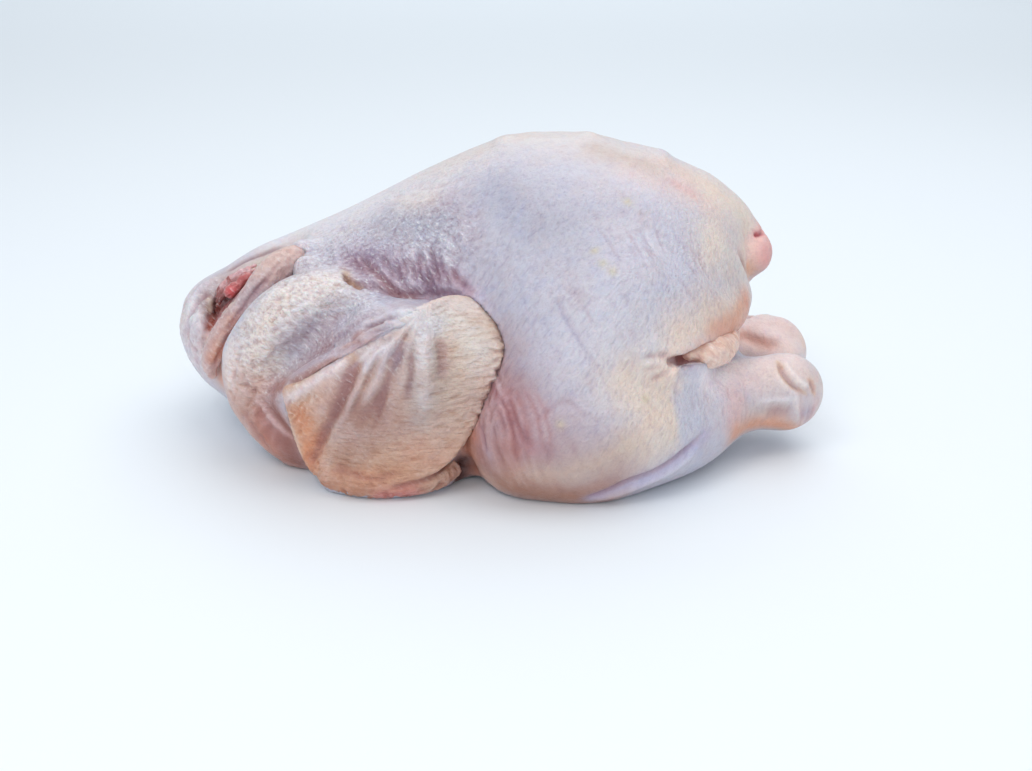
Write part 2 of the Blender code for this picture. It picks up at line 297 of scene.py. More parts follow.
def add_form(name, rings):
    """A closed form from a row of closed rings with equally many points, in millimetres."""
    bm = bmesh.new()
    rows = [[bm.verts.new(np.array(point) * MM) for point in ring] for ring in rings]
    for one, two in zip(rows, rows[1:]):
        for i in range(len(one)):
            j = (i + 1) % len(one)
            bm.faces.new((one[i], one[j], two[j], two[i]))
    bm.faces.new(rows[0])
    bm.faces.new(rows[-1])
    bmesh.ops.recalc_face_normals(bm, faces=bm.faces)
    mesh = bpy.data.meshes.new(name)
    bm.to_mesh(mesh)
    bm.free()
    form = bpy.data.objects.new(name, mesh)
    bpy.context.scene.collection.objects.link(form)
    return form


def tube(name, side, joints):
    """A bar with round ends through joints, each (x, y, z, radius)."""
    path = smooth_path([(x, -side * y, z, radius) for x, y, z, radius in joints])
    turns = [2 * math.pi * k / TUBE_SIDES for k in range(TUBE_SIDES)]
    rings = []
    for i, (x, y, z, radius) in enumerate(path):
        before, after = path[max(i - 1, 0), :3], path[min(i + 1, len(path) - 1), :3]
        forward = (after - before) / np.linalg.norm(after - before)
        level = np.cross(forward, (0, 0, 1))
        level /= np.linalg.norm(level)
        other = np.cross(forward, level)
        pushes = [0]
        if i == 0:
            pushes = [-1, -0.85, -0.5, 0]
        if i == len(path) - 1:
            pushes = [0, 0.5, 0.85, 1]
        for push in pushes:
            size = radius * math.sqrt(max(1 - push * push, 0.01))
            middle = np.array((x, y, z)) + push * radius * forward
            rings.append([middle + size * (math.cos(t) * level + math.sin(t) * other) for t in turns])
    return add_form(name, rings)


def thin_plate(knots):
    """A smooth function of two numbers that takes the third number of each knot at the first two."""
    knots = np.array(knots, float)

    def bend(gap):
        return gap**2 * np.log(gap + 1e-9)

    count = len(knots)
    gaps = np.linalg.norm(knots[:, None, :2] - knots[None, :, :2], axis=2)
    flat = np.hstack([np.ones((count, 1)), knots[:, :2]])
    matrix = np.block([[bend(gaps), flat], [flat.T, np.zeros((3, 3))]])
    parts = np.linalg.solve(matrix, np.append(knots[:, 2], (0, 0, 0)))

    def height(u, v):
        gap = np.hypot(knots[:, 0] - np.asarray(u)[..., None], knots[:, 1] - np.asarray(v)[..., None])
        return bend(gap) @ parts[:count] + parts[count] + parts[count + 1] * u + parts[count + 2] * v

    return height


# The folded forearm's fan of skin in X and Z, from the elbow round its free margin to the front flap.
FAN_OUTLINE = [
    (-30, 72), (-22, 73), (-13, 71.5), (-7, 67), (-2.5, 62), (-0.5, 56), (-2, 49), (-5.5, 41), (-9.5, 31),
    (-14, 22), (-21, 14), (-32, 8), (-50, 5), (-66, 4), (-74, 8), (-79, 18), (-81, 30), (-82, 40),
    (-75, 43.5), (-66, 49), (-55, 56), (-45, 63), (-37, 69),
]
# Places of the fan's front, each x, z and how far out it stands.
FAN_STAND = [
    (-20, 72, 62), (-31, 71, 72), (-4, 56, 72), (-10, 34, 77), (-26, 52, 80), (-30, 26, 84), (-46, 58, 77),
    (-56, 40, 81), (-66, 50, 77), (-81, 39, 76), (-79, 16, 73), (-66, 8, 80), (-40, 8, 86),
]
FAN_EDGE = 1.6  # radius of its free edge
FAN_END = 4.0  # nothing behind this X is near it
FAN_MARGIN = 0.3  # how far outside its outline the body is still held back
FAN_CLEARANCE = 2.4  # from its front back to the body beside its edge
TUCK_DEPTH = 5.0  # how much further back the body lies under it
TUCK_REACH = 9.0  # from its edge in to where the body lies that far back
SEAM_WIDTH = 6.5  # half the band of the arm's skin that runs over on to it
SEAM_REACH = 16.0  # how far from the band's middle it is still felt
SEAM_RISE = 0.7  # how far that skin stands out from it
# Where the arm's skin runs over on to the fan, and the fine ridges in it that gather at the elbow's knob.
ELBOW_SEAM = [(-62.5, -72, 51), (-53.5, -73, 57.5), (-45.5, -73, 62.5), (-38, -73, 68.5), (-31, -70, 71.5)]
ELBOW_RIDGES = [
    [(-64.5, -74, 48.5), (-56.5, -74, 54.5), (-50.5, -74, 58), (-40.5, -75, 62.5), (-34, -75, 65.5)],
    [(-62.5, -72, 53.5), (-54.5, -73, 58), (-46.5, -74, 61), (-38, -74, 65)],
    [(-56.5, -73, 60), (-47.5, -74, 63.5), (-39, -74, 66.5), (-33, -74, 68)],
    [(-55, -71, 65), (-44, -73, 68.5), (-35, -73, 69.5)],
]
ELBOW_DIPS = [
    [(-63.5, -72, 51.5), (-55.5, -73, 56.5), (-48.5, -74, 59.5), (-38.5, -74, 63.5)],
    [(-58.5, -72, 57.5), (-50.5, -73, 61), (-42.5, -74, 64.5)],
    [(-52.5, -72, 63.5), (-45, -73, 66), (-37, -73, 68)],
]


def fan(side):
    """The fan as a lens: a thin round edge, and a back that runs deep into the bird."""
    stand = thin_plate(FAN_STAND)
    rim = smooth_path(FAN_OUTLINE + FAN_OUTLINE[:1], 6)[:-1]
    middle = rim.mean(axis=0)
    width = np.linalg.norm(rim - middle, axis=1).mean()
    profile = [(width * share, 10.0) for share in (0.95, 0.7)] + [(12, 9.0), (8, 7.0), (4, 4.5)]
    for turn in np.linspace(-90, 90, 9):
        lean = math.radians(turn)
        profile.append((FAN_EDGE * (1 - math.cos(lean)), FAN_EDGE * (1 - math.sin(lean))))
    profile += [(width * share, 0.0) for share in (0.2, 0.4, 0.6, 0.8, 0.95)]
    rings = []
    for inset, depth in profile:
        ring = middle + (1 - inset / width) * (rim - middle)
        out = stand(ring[:, 0], ring[:, 1]) - depth
        rings.append(np.stack([ring[:, 0], side * out, ring[:, 1]], axis=1))
    return add_form(f"fan_{side}", rings)


def tucked_tip(side):
    """The wing's tip, which lies on the surface under the fan."""
    joints = [
        (-20, -73, 8, 3.5), (-26, -77, 7.5, 5.5), (-38, -80, 7, 6.6), (-52, -80, 7, 7), (-64, -77, 7, 6),
    ]
    return tube("tucked_tip", side, joints)


def fat_lump(side):
    """The pillow of fat between flank and drumstick, and the thin skin that it hangs in."""
    joints = [
        (67, -64.5, 52.5, 2.5), (72, -61, 51.5, 4.6), (77.5, -55.5, 50.5, 6.0), (82.5, -49, 49.8, 6.0),
        (85.5, -42.5, 50.5, 5.2), (87.5, -37, 53, 4.2),
    ]
    return tube("fat", side, joints)


def neck_roll():
    """The roll of skin along the near side of the cut neck."""
    joints = [
        (-85, -25, 76, 5.2), (-89.5, -27.5, 73.5, 6.0), (-94.5, -30.5, 69.3, 5.7), (-99, -32.5, 64.3, 5.2),
        (-103, -34, 58, 5.1), (-108.5, -36, 52, 5.2), (-114, -37, 44, 4.9), (-118, -37, 36, 3.6),
        (-118, -36, 30.5, 2.0),
    ]
    return tube("roll", NEAR, joints)


# The bed of flesh in the cut neck, painted dark as the shadow deep in its holes, each joint (x, y, z, radius).
SHADOWED_FLESH_BED = [
    (-100, -16, 64.5, 3.2), (-106, -17, 60.5, 4.4), (-112, -16, 55.5, 4.6), (-116.5, -14, 50.5, 3.8),
    (-118.5, -15, 46.5, 2.4),
]


def neck_flesh():
    """Torn muscle in the cut neck: a bed of flesh in painted shadow, red lumps on it, strands along its far
    wall.
    """
    lumps = [(-105, -23, 67, 2.0), (-107.5, -23.5, 64.5, 1.8), (-110, -24.5, 62.3, 2.8)]
    forms = [tube("lump", NEAR, [(x - 1, y, z - 0.7, r), (x + 1, y, z + 0.7, r)]) for x, y, z, r in lumps]
    forms.append(tube("bed", NEAR, SHADOWED_FLESH_BED))
    # A second bed fills the pit's floor, painted dark with the first.
    forms.append(
        tube("bed", NEAR, [(-107, -22, 58.5, 2.6), (-112, -22.5, 52.5, 3.4), (-117, -21, 46.5, 2.4)])
    )
    strand = [
        (-102, -17, 70.5, 0.6), (-109.5, -17.5, 67.3, 0.9), (-115.5, -18, 62.5, 0.9), (-118, -18.5, 59, 0.6),
    ]
    for i in range(4):
        forms.append(
            tube("strand", NEAR, [(x + 0.3 * i, y - 1.7 * i, z - 1.3 * i, r) for x, y, z, r in strand])
        )
    return forms


# ---------------------------------------------------------------- meshes


def settled(piece):
    """Gives an object the mesh that its modifiers make."""
    bpy.context.view_layer.update()
    graph = bpy.context.evaluated_depsgraph_get()
    piece.data = bpy.data.meshes.new_from_object(piece.evaluated_get(graph))
    piece.modifiers.clear()


def drop_specks(piece):
    """Deletes closed scraps of a few vertices, which an even mesh can leave in tight gaps between forms."""
    bm = bmesh.new()
    bm.from_mesh(piece.data)
    left, scraps = set(bm.verts), []
    while left:
        island, waiting = [], [left.pop()]
        while waiting:
            island.append(waiting.pop())
            found = {edge.other_vert(island[-1]) for edge in island[-1].link_edges} & left
            left -= found
            waiting.extend(found)
        if len(island) < SPECK:
            scraps.extend(island)
    if scraps:
        bmesh.ops.delete(bm, geom=scraps, context="VERTS")
        bm.to_mesh(piece.data)
    bm.free()


def one_mesh(name, forms, voxel, smoothing):
    """One object in the shape of several closed ones together, on an even mesh."""
    graph = bpy.context.evaluated_depsgraph_get()
    bm = bmesh.new()
    for form in forms:
        bm.from_mesh(form.evaluated_get(graph).data)
        bpy.data.objects.remove(form)
    mesh = bpy.data.meshes.new(name)
    bm.to_mesh(mesh)
    bm.free()
    piece = bpy.data.objects.new(name, mesh)
    bpy.context.scene.collection.objects.link(piece)
    remesh = piece.modifiers.new("even", "REMESH")
    remesh.mode = "VOXEL"
    remesh.voxel_size = voxel * MM
    piece.modifiers.new("soften", "SMOOTH").iterations = smoothing
    settled(piece)
    drop_specks(piece)
    return piece


def rounded_copy(node):
    """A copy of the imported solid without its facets."""
    mesh = node.data.copy()
    mesh.materials.clear()
    bm = bmesh.new()
    bm.from_mesh(mesh)
    bmesh.ops.remove_doubles(bm, verts=bm.verts, dist=1e-6)
    bm.to_mesh(mesh)
    bm.free()
    piece = bpy.data.objects.new("rounded", mesh)
    bpy.context.scene.collection.objects.link(piece)
    rounder = piece.modifiers.new("round_off", "SUBSURF")
    rounder.levels = rounder.render_levels = 2
    return piece


def thin_out(piece, triangles):
    """Fewer, larger triangles where the surface is smooth."""
    thin = piece.modifiers.new("thin_out", "DECIMATE")
    thin.ratio = min(1.0, triangles / sum(len(face.vertices) - 2 for face in piece.data.polygons))
    settled(piece)


# ---------------------------------------------------------------- folds

# Lines that are both folded and coloured.
ELBOW_KNOB = [(-32, -75, 67.5), (-26, -74, 67)]
ARM_RIDGE = [(-94, -63, 30.5), (-90.5, -64, 26.5), (-86.5, -65, 21.5), (-81.5, -67, 17)]
KNEE_GROOVES = [
    [(-4, -77, 42.5), (0.5, -85, 38), (3.5, -91, 30), (5, -92, 23)],
    [(1, -81, 43), (3.5, -88, 36), (7.5, -92, 30), (10, -93, 25)],
]
KNEE_RIDGE = [(-3, -75, 45.5), (-1, -80, 42), (1.5, -85, 38)]
KNEE_EDGE = [(-9.5, -79, 31.5), (-7.5, -84, 26.5), (-5, -87, 20.5)]
HOCK_SLIT = [(108.5, -35, 41), (110, -40, 37), (114, -42, 32), (119, -42, 29)]
HOCK_LIP = [(111, -34, 42), (113, -39, 38), (117, -41, 34), (121, -41, 30.5)]
HOCK_NICK = [(122, -40, 34.5), (123, -40, 31.5), (124, -40, 27.5)]
SINEW = [(100.5, -47, 27.5), (106.5, -45, 27), (115.5, -44, 27)]
LOBE = [(-123.5, -16, 55.5), (-128, -14, 45), (-124.5, -22, 35.5)]


def flap_folds(skin):
    """The fan's front flap: its thick upper edge, and its face, which slopes down to the first groove."""
    skin.crease([(-80, 36.5), (-75, 40.5), (-66, 46.5), (-57.5, 52.5)], 2.2, -1.0, 0.15)
    skin.crease([(-72, 33), (-70.5, 23), (-73, 14)], 5.0, 1.0, 0.3, fine=False)


def fan_grooves(skin):
    """Grooves and ridges that run out from the elbow."""
    # The first groove, which widens towards the surface, and the ridge behind it.
    first = [(-51.5, 58), (-54.5, 50), (-58, 40.5), (-63.5, 29.5), (-69.5, 17.5), (-73, 10)]
    skin.crease(first, 3.4, 1.5, 0.3)
    skin.crease(first[1:5], 1.2, 0.7, 0.35)
    skin.crease([(-53, 53), (-56.5, 43), (-61, 33)], 0.8, 0.8, 0.3)
    skin.crease(
        [(-38.5, 62.5), (-47.5, 55), (-52, 48), (-58, 35.5), (-64.5, 23.5), (-71, 13)], 1.8, -1.4, 0.2
    )
    # The second groove, deepest under the elbow, and the ridges beside it.
    second = [(-36.5, 60.5), (-38.5, 54.5), (-42, 48.5), (-45, 41), (-47.5, 31)]
    skin.crease(second, 2.2, 1.1, 0.25)
    skin.crease(second[:4], 0.9, 0.7, 0.3)
    skin.crease([(-45, 58), (-49, 49), (-53, 40), (-58, 29)], 0.9, 0.7, 0.3)
    skin.crease([(-42, 46), (-45, 36), (-49, 26)], 0.9, 0.6, 0.3)
    skin.crease([(-36, 65.5), (-42.5, 55.5), (-47, 46), (-52, 35)], 1.3, -0.9, 0.25)
    skin.crease([(-30.5, 63.5), (-28.5, 54), (-29, 41), (-29.5, 32.5)], 2.6, -1.4, 0.3)
    skin.crease([(-33, 60.5), (-34, 50.5), (-36, 38.5)], 1.4, 1.0, 0.3)
    skin.crease([(-24.5, 63), (-23, 54), (-23, 45)], 2.4, 0.9, 0.35)
    skin.crease(ELBOW_KNOB, 4.5, -1.4, fine=False)


def elbow_folds(skin):
    """Fine ridges that gather at the elbow's knob, on both of the skins that meet there."""
    for ridge in ELBOW_RIDGES:
        skin.crease(ridge, 1.1, -0.8, 0.2)
    for dip in ELBOW_DIPS:
        skin.crease(dip, 0.9, 1.0, 0.25)
    skin.gather(skin.patch(ELBOW_SEAM, 8.0), (-29, 70), 1.9, 4.0, 0.35, 19.0)


def follicles(skin):
    """Rows of follicles over the fan and along its margin, finer wrinkles, and its ragged foot."""
    scaly = skin.patch([(-14.5, 63.5), (-16, 45.5), (-23.5, 29), (-37.5, 18.5), (-57, 13.5)], 19.0)
    skin.rows(scaly, 2.1, 0.08)
    margin = [(-2, 58), (-2, 50), (-6, 39.5), (-9.5, 29.5), (-13.5, 21.5), (-20, 13)]
    skin.rows(skin.patch(margin, 3.2, all_round=True), 4.3, 0.5)
    skin.rows(skin.patch(margin[1:], 2.6, all_round=True), 3.1, 0.5)
    gathered = skin.patch([(-38.5, 58.5), (-48, 48), (-58, 33.5), (-61.5, 19.5)], 14.0)
    elbow = (-29, 73)
    skin.gather(gathered, elbow, 7.0, 4.0, 0.7, 6.1)
    skin.gather(gathered, elbow, 2.8, 5.0, 0.25, 8.4)
    skin.ripple(skin.patch([(-74, 37), (-75.5, 23), (-71, 9)], 9.0), 2.0, (0.5, 0, 0.85), 2.0, 0.25, 9.0)
    skin.ripple(skin.whole, 1.3, (1, 0, 0.2), 1.6, 0.10, 71.0)
    foot = [(-15, -72, 9.5), (-23, -76, 4), (-38.5, -80, 0.5), (-56.5, -80, -0.5)]
    skin.ripple(skin.patch(foot, 7.0, all_round=True), 3.0, (0, 0.3, 1), 1.4, 0.7, 15.0)


def wing_folds(skin):
    flap_folds(skin)
    fan_grooves(skin)
    elbow_folds(skin)
    # Creases over the fan's lower part, and its lower edge, folded over the tucked tip.
    skin.crease([(-71, 9), (-61, 11.5), (-47, 10), (-33, 14.5)], 1.6, 0.6, 0.3)
    skin.crease([(-19, 14), (-29, 8.5), (-43, 6)], 1.2, 1.0, 0.2)
    follicles(skin)


def tuck_under_fan(skin):
    """Draws the body in under the fan, whose free edge stands clear of it, and lays the arm's skin over on
    to the fan beside the elbow."""
    stand = thin_plate(FAN_STAND)
    outline = smooth_path(FAN_OUTLINE + FAN_OUTLINE[:1], 3)[:-1]
    beside_fan = (skin.places[:, 1] * skin.side > FLANK / 2) & (skin.places[:, 0] < FAN_END)
    which = np.flatnonzero(beside_fan)
    spots = skin.places[which]
    inside = depth_inside(outline, spots[:, [0, 2]])
    front = stand(spots[:, 0], spots[:, 2])
    joined = np.zeros(len(skin.places))
    close, gap, _, along, _ = skin.near(ELBOW_SEAM, SEAM_REACH)
    joined[close] = np.exp(-((gap / SEAM_WIDTH) ** 2)) * step(0.0, 0.35, along)
    joined = joined[which]
    out = skin.side * spots[:, 1]
    out = out + joined * np.maximum(front + SEAM_RISE - out, 0)
    tucked = TUCK_DEPTH * step(0.0, TUCK_REACH, inside) * (1 - joined)
    limit = front - FAN_CLEARANCE + (FAN_CLEARANCE + SEAM_RISE) * joined - tucked
    held = np.where(inside > -FAN_MARGIN, np.minimum(out, limit), out)
    skin.places[which, 1] = skin.side * held


def arm_folds(skin):
    """The upper arm's valley and rough skin, and the creases that part it from the neck and the back."""
    skin.shift([(-104, -48, 44), (-106, -46, 34), (-105, -46, 24)], 8.0, (-1.8, 0, 0))
    valley = [(-53, -64, 68), (-63, -61, 62.5), (-74.5, -61, 53), (-86.5, -61, 42.5), (-93, -62, 34.5)]
    skin.crease(valley, 6.0, 2.6, 0.2, fine=False)
    skin.crease([(-45, -68, 66), (-58.5, -66, 59.5), (-72.5, -64, 49), (-84, -64, 38)], 1.2, 0.7, 0.3)
    skin.crease([(-86, -66, 36.5), (-76, -67, 43), (-64.5, -69, 49), (-56.5, -70, 54)], 1.4, -1.0, 0.2)
    skin.crease([(-82, -68, 36), (-74, -69, 41), (-65.5, -71, 47.5), (-58.5, -72, 52)], 1.2, 1.2, 0.2)
    skin.crease([(-61, -66, 63.5), (-72.5, -63, 56), (-82.5, -62, 47)], 1.3, -0.6, 0.3)
    rim = [
        (-81.5, -30, 72), (-87.5, -36, 66.5), (-93, -42, 62.5), (-99, -46, 56), (-104.5, -46, 49),
        (-110.5, -42, 40),
    ]
    skin.crease(rim, 1.6, 2.2, 0.15)
    skin.crease([(-62.5, -47, 75.5), (-60.5, -48, 72.5), (-57.5, -50, 71), (-54, -53, 70)], 1.0, 1.1, 0.2)
    rough = skin.patch(
        [(-67.5, -50, 71.5), (-79, -52, 67), (-89, -56, 56.5), (-95.5, -58, 44.5), (-97, -60, 32.5)], 12.0
    )
    skin.ripple(rough, 2.4, (0.75, 0, 0.66), 2.2, 0.55, 41.0)
    below = skin.patch([(-97, -61, 28.5), (-92.5, -63, 16.5), (-87, -64, 4.5)], 11.0)
    skin.ripple(below, 3.6, (0.3, 0, 1), 3.5, 0.3, 14.0)
    skin.crease(ARM_RIDGE, 1.4, -0.9, 0.3)
    skin.crease([(-100, -61, 26), (-96.5, -62, 16.5), (-91, -64, 6.5)], 1.5, 0.9, 0.3)
    elbow_folds(skin)


def armpit_lines():
    """Fine lines from the back down into the armpit, all leaning towards the elbow."""
    tops = smooth_path(
        [(-61, -33, 81), (-50, -37, 82.5), (-40, -41, 83), (-31, -43, 83.5), (-21, -47, 81)], 3
    )
    ends = smooth_path([(-50, -47, 71), (-43, -50, 69.5), (-36, -52, 69), (-28, -53, 70), (-15, -56, 70)], 3)
    chance = np.random.default_rng(12)
    lines = []
    for top, end in zip(tops, ends):
        first, last = chance.uniform(0, 0.3), chance.uniform(0.75, 1.0)
        middle = (top + end) / 2 + (chance.uniform(-0.8, 0.8), -1.0, 0.8)
        path = smooth_path([top, middle, end])
        lines.append(path[int(first * len(path)) : int(last * len(path))][::3])
    return lines


def armpit_folds(skin):
    """Fine deep wrinkles where the wing's skin runs on to the back."""
    where = skin.patch(
        [(-62, -34, 80.5), (-49.5, -41, 78), (-37.5, -46, 77.5), (-27.5, -50, 76), (-15, -54, 73.5)], 9.0
    )
    skin.gather(where, (-20.5, 51), 2.6, 5.0, 0.6, 3.1)
    for points, depth in (
        ([(-59, -33, 80), (-51.5, -40, 75), (-45.5, -46, 71), (-40, -51, 67.5)], 1.5),
        ([(-50.5, -37, 81), (-44.5, -43, 77.5), (-38, -49, 70.5)], 0.8),
        ([(-44.5, -42, 78.5), (-39.5, -47, 73.5), (-35, -51, 68.5)], 0.9),
        ([(-37.5, -40, 82.5), (-33.5, -45, 76.5), (-29.5, -49, 73), (-27, -52, 69)], 1.3),
        ([(-34, -40, 83.5), (-29.5, -45, 78), (-26.5, -50, 72)], 1.2),
        ([(-29, -40, 85), (-26.5, -44, 80), (-26.5, -48, 74)], 1.4),
        ([(-24.5, -43, 83), (-22.5, -47, 77), (-21, -51, 71)], 0.8),
        ([(-20.5, -48, 79), (-16.5, -51, 75.5), (-13, -54, 71.5)], 1.0),
    ):
        skin.crease(points, 0.9, depth, 0.3)
    for line in armpit_lines():
        skin.crease(line, 0.7, 0.5, 0.3)
    edge = [
        (-63.5, -47, 73.5), (-51.5, -50, 71), (-39, -52, 69.5), (-27, -54, 71), (-17, -57, 69.5),
        (-8, -64, 63.5),
    ]
    skin.crease(edge, 1.8, 2.6, 0.1)


def flank_folds(skin):
    """The edge of the flank over the fat, the pit at its front end, and the pinched skin round that."""
    flank = [
        (60.5, -72, 54), (67.5, -66, 55.5), (74.5, -57, 55.5), (82.5, -42, 52), (88.5, -30, 51),
        (93, -24, 59.5),
    ]
    skin.lip(flank, 1.4, 4.0, 4.0, 3.5, 0.7, 0.12)
    skin.crease([(60, -74, 53), (63, -71, 53)], 1.2, 2.0)
    pinches = (
        [(60.5, -72, 55), (56.5, -76, 58), (55.5, -76, 62)],
        [(59.5, -73, 54), (54.5, -77, 56.5), (48.5, -79, 55.5)],
        [(59, -75, 52), (55, -78, 52), (49, -79, 51.5)],
        [(61, -74, 51), (57, -77, 49), (51, -79, 47.5)],
    )
    for points in pinches:
        skin.crease(points, 1.3, 0.7, 0.3)
        skin.crease([(x - 1, y, z + 2.4) for x, y, z in points], 1.6, -0.5, 0.3)


def knee_folds(skin):
    """The fold along the underside of thigh and drumstick, and streaks over the front of the knee."""
    fold = [
        (28.5, -88, 4), (35.5, -88, 7), (45, -88, 11.5), (55, -84, 14), (67, -79, 19.5),
        (76.5, -71, 25.5),
    ]
    skin.crease(fold, 1.1, 1.4, 0.2)
    skin.crease(
        [(31.5, -88, 3), (42.5, -86, 5.5), (53.5, -83, 9), (65, -78, 14), (75, -72, 20.5)], 1.9, -1.3, 0.2
    )
    skin.crease([(-14.5, -70, 10), (-14.5, -72, 3)], 3.5, 5.0, fine=False)
    for points, depth in (
        (KNEE_GROOVES[0], 0.9),
        (KNEE_GROOVES[1], 1.1),
        (KNEE_RIDGE, -0.4),
        (KNEE_EDGE, 0.7),
        ([(13.5, -93, 29.5), (16, -94, 24.5), (16, -93, 18.5)], 0.5),
        ([(7.5, -91, 32), (13.5, -90, 37.5), (22, -88, 42.5), (31.5, -92, 36)], 0.4),
    ):
        skin.crease(points, 1.0, depth, 0.3)


def hock_folds(skin):
    """Slits in the hock's loose skin, the skin's cut end, and a sinew."""
    skin.crease(HOCK_SLIT, 0.9, 1.4, 0.3)
    skin.crease([(106.5, -36, 40), (108, -41, 35), (112, -44, 31), (117.5, -44, 27)], 1.2, -0.6, 0.2)
    skin.crease(HOCK_LIP, 1.2, -0.7, 0.2)
    skin.crease(HOCK_NICK, 0.9, 1.0, 0.25)
    cut_end = [(117.5, -40, 15), (117.5, -43, 21), (116.5, -43, 26), (115.5, -43, 32)]
    skin.lip(cut_end, 0.5, 2.0, 0.6, 2.5, 0.6, 0.25)
    skin.crease(SINEW, 1.0, -0.45, 0.25)
    skin.crease([(102.5, -47, 22.5), (108.5, -45, 22), (115.5, -43, 21)], 2.4, 0.7, 0.3)
    for x in (119, 122, 125):
        skin.crease([(x, -42, 24), (x, -40, 18), (x - 1, -36, 13)], 0.9, 0.6, 0.3)


def body_wrinkles(skin):
    """Long fine creases over thigh and rump, and the grain of each stretch of skin."""
    starts = smooth_path([(38, -46, 101.5), (52, -42, 102), (66, -39, 96.5), (77, -37, 89)], 4)
    ends = smooth_path([(49, -70, 81.5), (63, -62, 78), (74, -53, 70.5), (83, -44, 65)], 4)
    chance = np.random.default_rng(5)
    for start, end in zip(starts, ends):
        shift, low, high = chance.uniform(-2.0, 2.0), *chance.uniform(0.0, 0.35, 2)
        bulge = (start + end) / 2 + (2.5 + shift, -4, 1)
        line = smooth_path([start + (shift, 0, 0), bulge, end + (shift, 0, 0)])
        line = line[int(low * len(line)) : int((1 - high) * len(line))]
        skin.crease(line[::3], chance.uniform(0.7, 1.2), chance.uniform(0.1, 0.4), 0.4)
    for x, top, height in ((-3, 121, 0.8), (15, 122, -0.4), (32, 122, 0.9), (47, 119, -0.5), (61, 114, 0.9)):
        skin.crease([(x - 1, -20, top - 3), (x, -6, top), (x, 8, top)], 4.5, -height, 0.3, fine=False)
    for points in (
        [(17, -69, 78.5), (20, -74, 71.5), (25.5, -79, 64), (31.5, -82, 56), (39, -83, 48.5)],
        [(22.5, -66, 80.5), (28, -73, 73), (34.5, -77, 63)],
        [(31, -46, 101), (38, -60, 94.5), (43.5, -68, 86.5)],
    ):
        skin.crease(points, 0.9, 0.35, 0.35)
    thigh = skin.patch([(8.5, -60, 85), (29.5, -78, 61), (20.5, -85, 35.5), (50, -80, 46.5)], 34.0)
    skin.ripple(thigh, 3.0, (0.5, 0, -0.86), 6.0, 0.13, 11.7)
    rump = skin.patch([(50, -50, 92), (71, -55, 74.5), (84, -38, 69)], 20.0)
    skin.ripple(rump, 2.8, (0.5, 0, -0.86), 8.0, 0.16, 23.9)
    drumstick = skin.patch([(70.5, -68, 34.5), (88, -50, 29), (104, -42, 27.5)], 15.0)
    skin.ripple(drumstick, 2.6, (0, 0.2, 1), 5.0, 0.16, 5.3)
    knee = skin.patch([(-6, -78, 41.5), (-1.5, -86, 28), (5, -90, 18)], 10.0)
    skin.ripple(knee, 2.8, (0.3, 0, -0.95), 7.0, 0.4, 17.0)
    shoulder = skin.patch([(-72, -30, 81.5), (-54, -28, 90), (-32.5, -30, 98.5), (-16, -44, 91.5)], 18.0)
    skin.ripple(shoulder, 2.3, (1, 0, 0.3), 2.6, 0.22, 31.0)


def dome(skin):
    """One dome from back to knee: the hollow round the top of the thigh is filled and its crown is lowered.
    The groove over the drumstick is filled too, since fat lies in it."""
    skin.crease([(61, -72, 49), (68, -64, 48), (78, -48, 45), (89, -30, 43)], 3.5, -3.5, fine=False)
    skin.crease([(69, -64, 46), (78, -51, 43.5), (88, -37, 42)], 5.0, -2.4, fine=False)
    hollow = [
        (-1.5, -54, 86), (7, -50, 94), (16, -46, 100.5), (32.5, -41, 106), (54, -42, 101),
        (66, -46, 90.5), (74.5, -50, 76.5),
    ]
    skin.crease(hollow, 11.0, -2.2, fine=False)
    skin.crease([(28.5, -60, 93), (40.5, -60, 91.5)], 12.0, 1.6, fine=False)


def tail_folds(skin):
    """The edge of the rump's skin over the root of the tail."""
    edge = [(95.5, -17, 68.5), (92.5, -21, 73.5), (90, -25, 78), (88.5, -28, 84)]
    skin.lip(edge, 0.5, 2.5, 1.6, 2.2, 0.7, 0.3)


def neck_folds(skin):
    """The open cut neck with its two holes, the bed of the roll beside it, and the lobe's folds in front."""
    lip = [(-91, -23, 75.5), (-97, -27, 70), (-106, -32, 62), (-114, -34, 52), (-118, -34, 40)]
    skin.shift(lip, 8.0, (2.0, 8.5, -5.0))
    skin.shift([(-130, -8, 38), (-127, -16, 32), (-122, -26, 27)], 9.0, (-2.6, 0, -1.0))
    skin.crease([(-80.5, -23, 78), (-79, -26, 74.5), (-77.5, -32, 75)], 4.5, -3.0, fine=False)
    skin.crease([(-84, -27, 71.5), (-80, -31, 73)], 4.0, -2.6, fine=False)
    skin.renew()
    slit = [
        (-96, -10, 71.5), (-101.5, -13, 67), (-107.5, -16, 63), (-113.5, -18, 56.5), (-118, -22, 50.5),
        (-120, -25, 44.5),
    ]
    skin.crease(slit, 4.0, 3.0, 0.15, fine=False)
    skin.crease([(-114.5, -12, 55.5), (-117, -13, 52.5)], 2.8, 4.5, fine=False)
    skin.crease([(-120, -20, 48.5), (-121, -21, 44.5)], 2.0, 3.0, fine=False)
    skin.crease(
        [(-122.5, -14, 60.5), (-124.5, -14, 55.5), (-126, -14, 49.5), (-126, -14, 41.5)], 1.2, 1.2, 0.2
    )
    skin.crease([(-119.5, -8, 63.5), (-125.5, -9, 57.5), (-128, -12, 49)], 1.6, -1.0, 0.2)
    skin.crease([(-131.5, -8, 52), (-132, -8, 44), (-131, -8, 36)], 1.6, 0.9, 0.3)
    skin.crease([(-129, -16, 45), (-127.5, -20, 39), (-124.5, -26, 33.5)], 1.4, 0.9, 0.3)
    skin.crease([(-92, -3, 76.5), (-100, -2, 71.5), (-110, -2, 66), (-116.5, -5, 60.5)], 1.0, 0.8, 0.2)
    skin.ripple(skin.patch(LOBE, 12.0), 3.0, (0.3, 0, 1), 3.0, 0.6, 61.0)


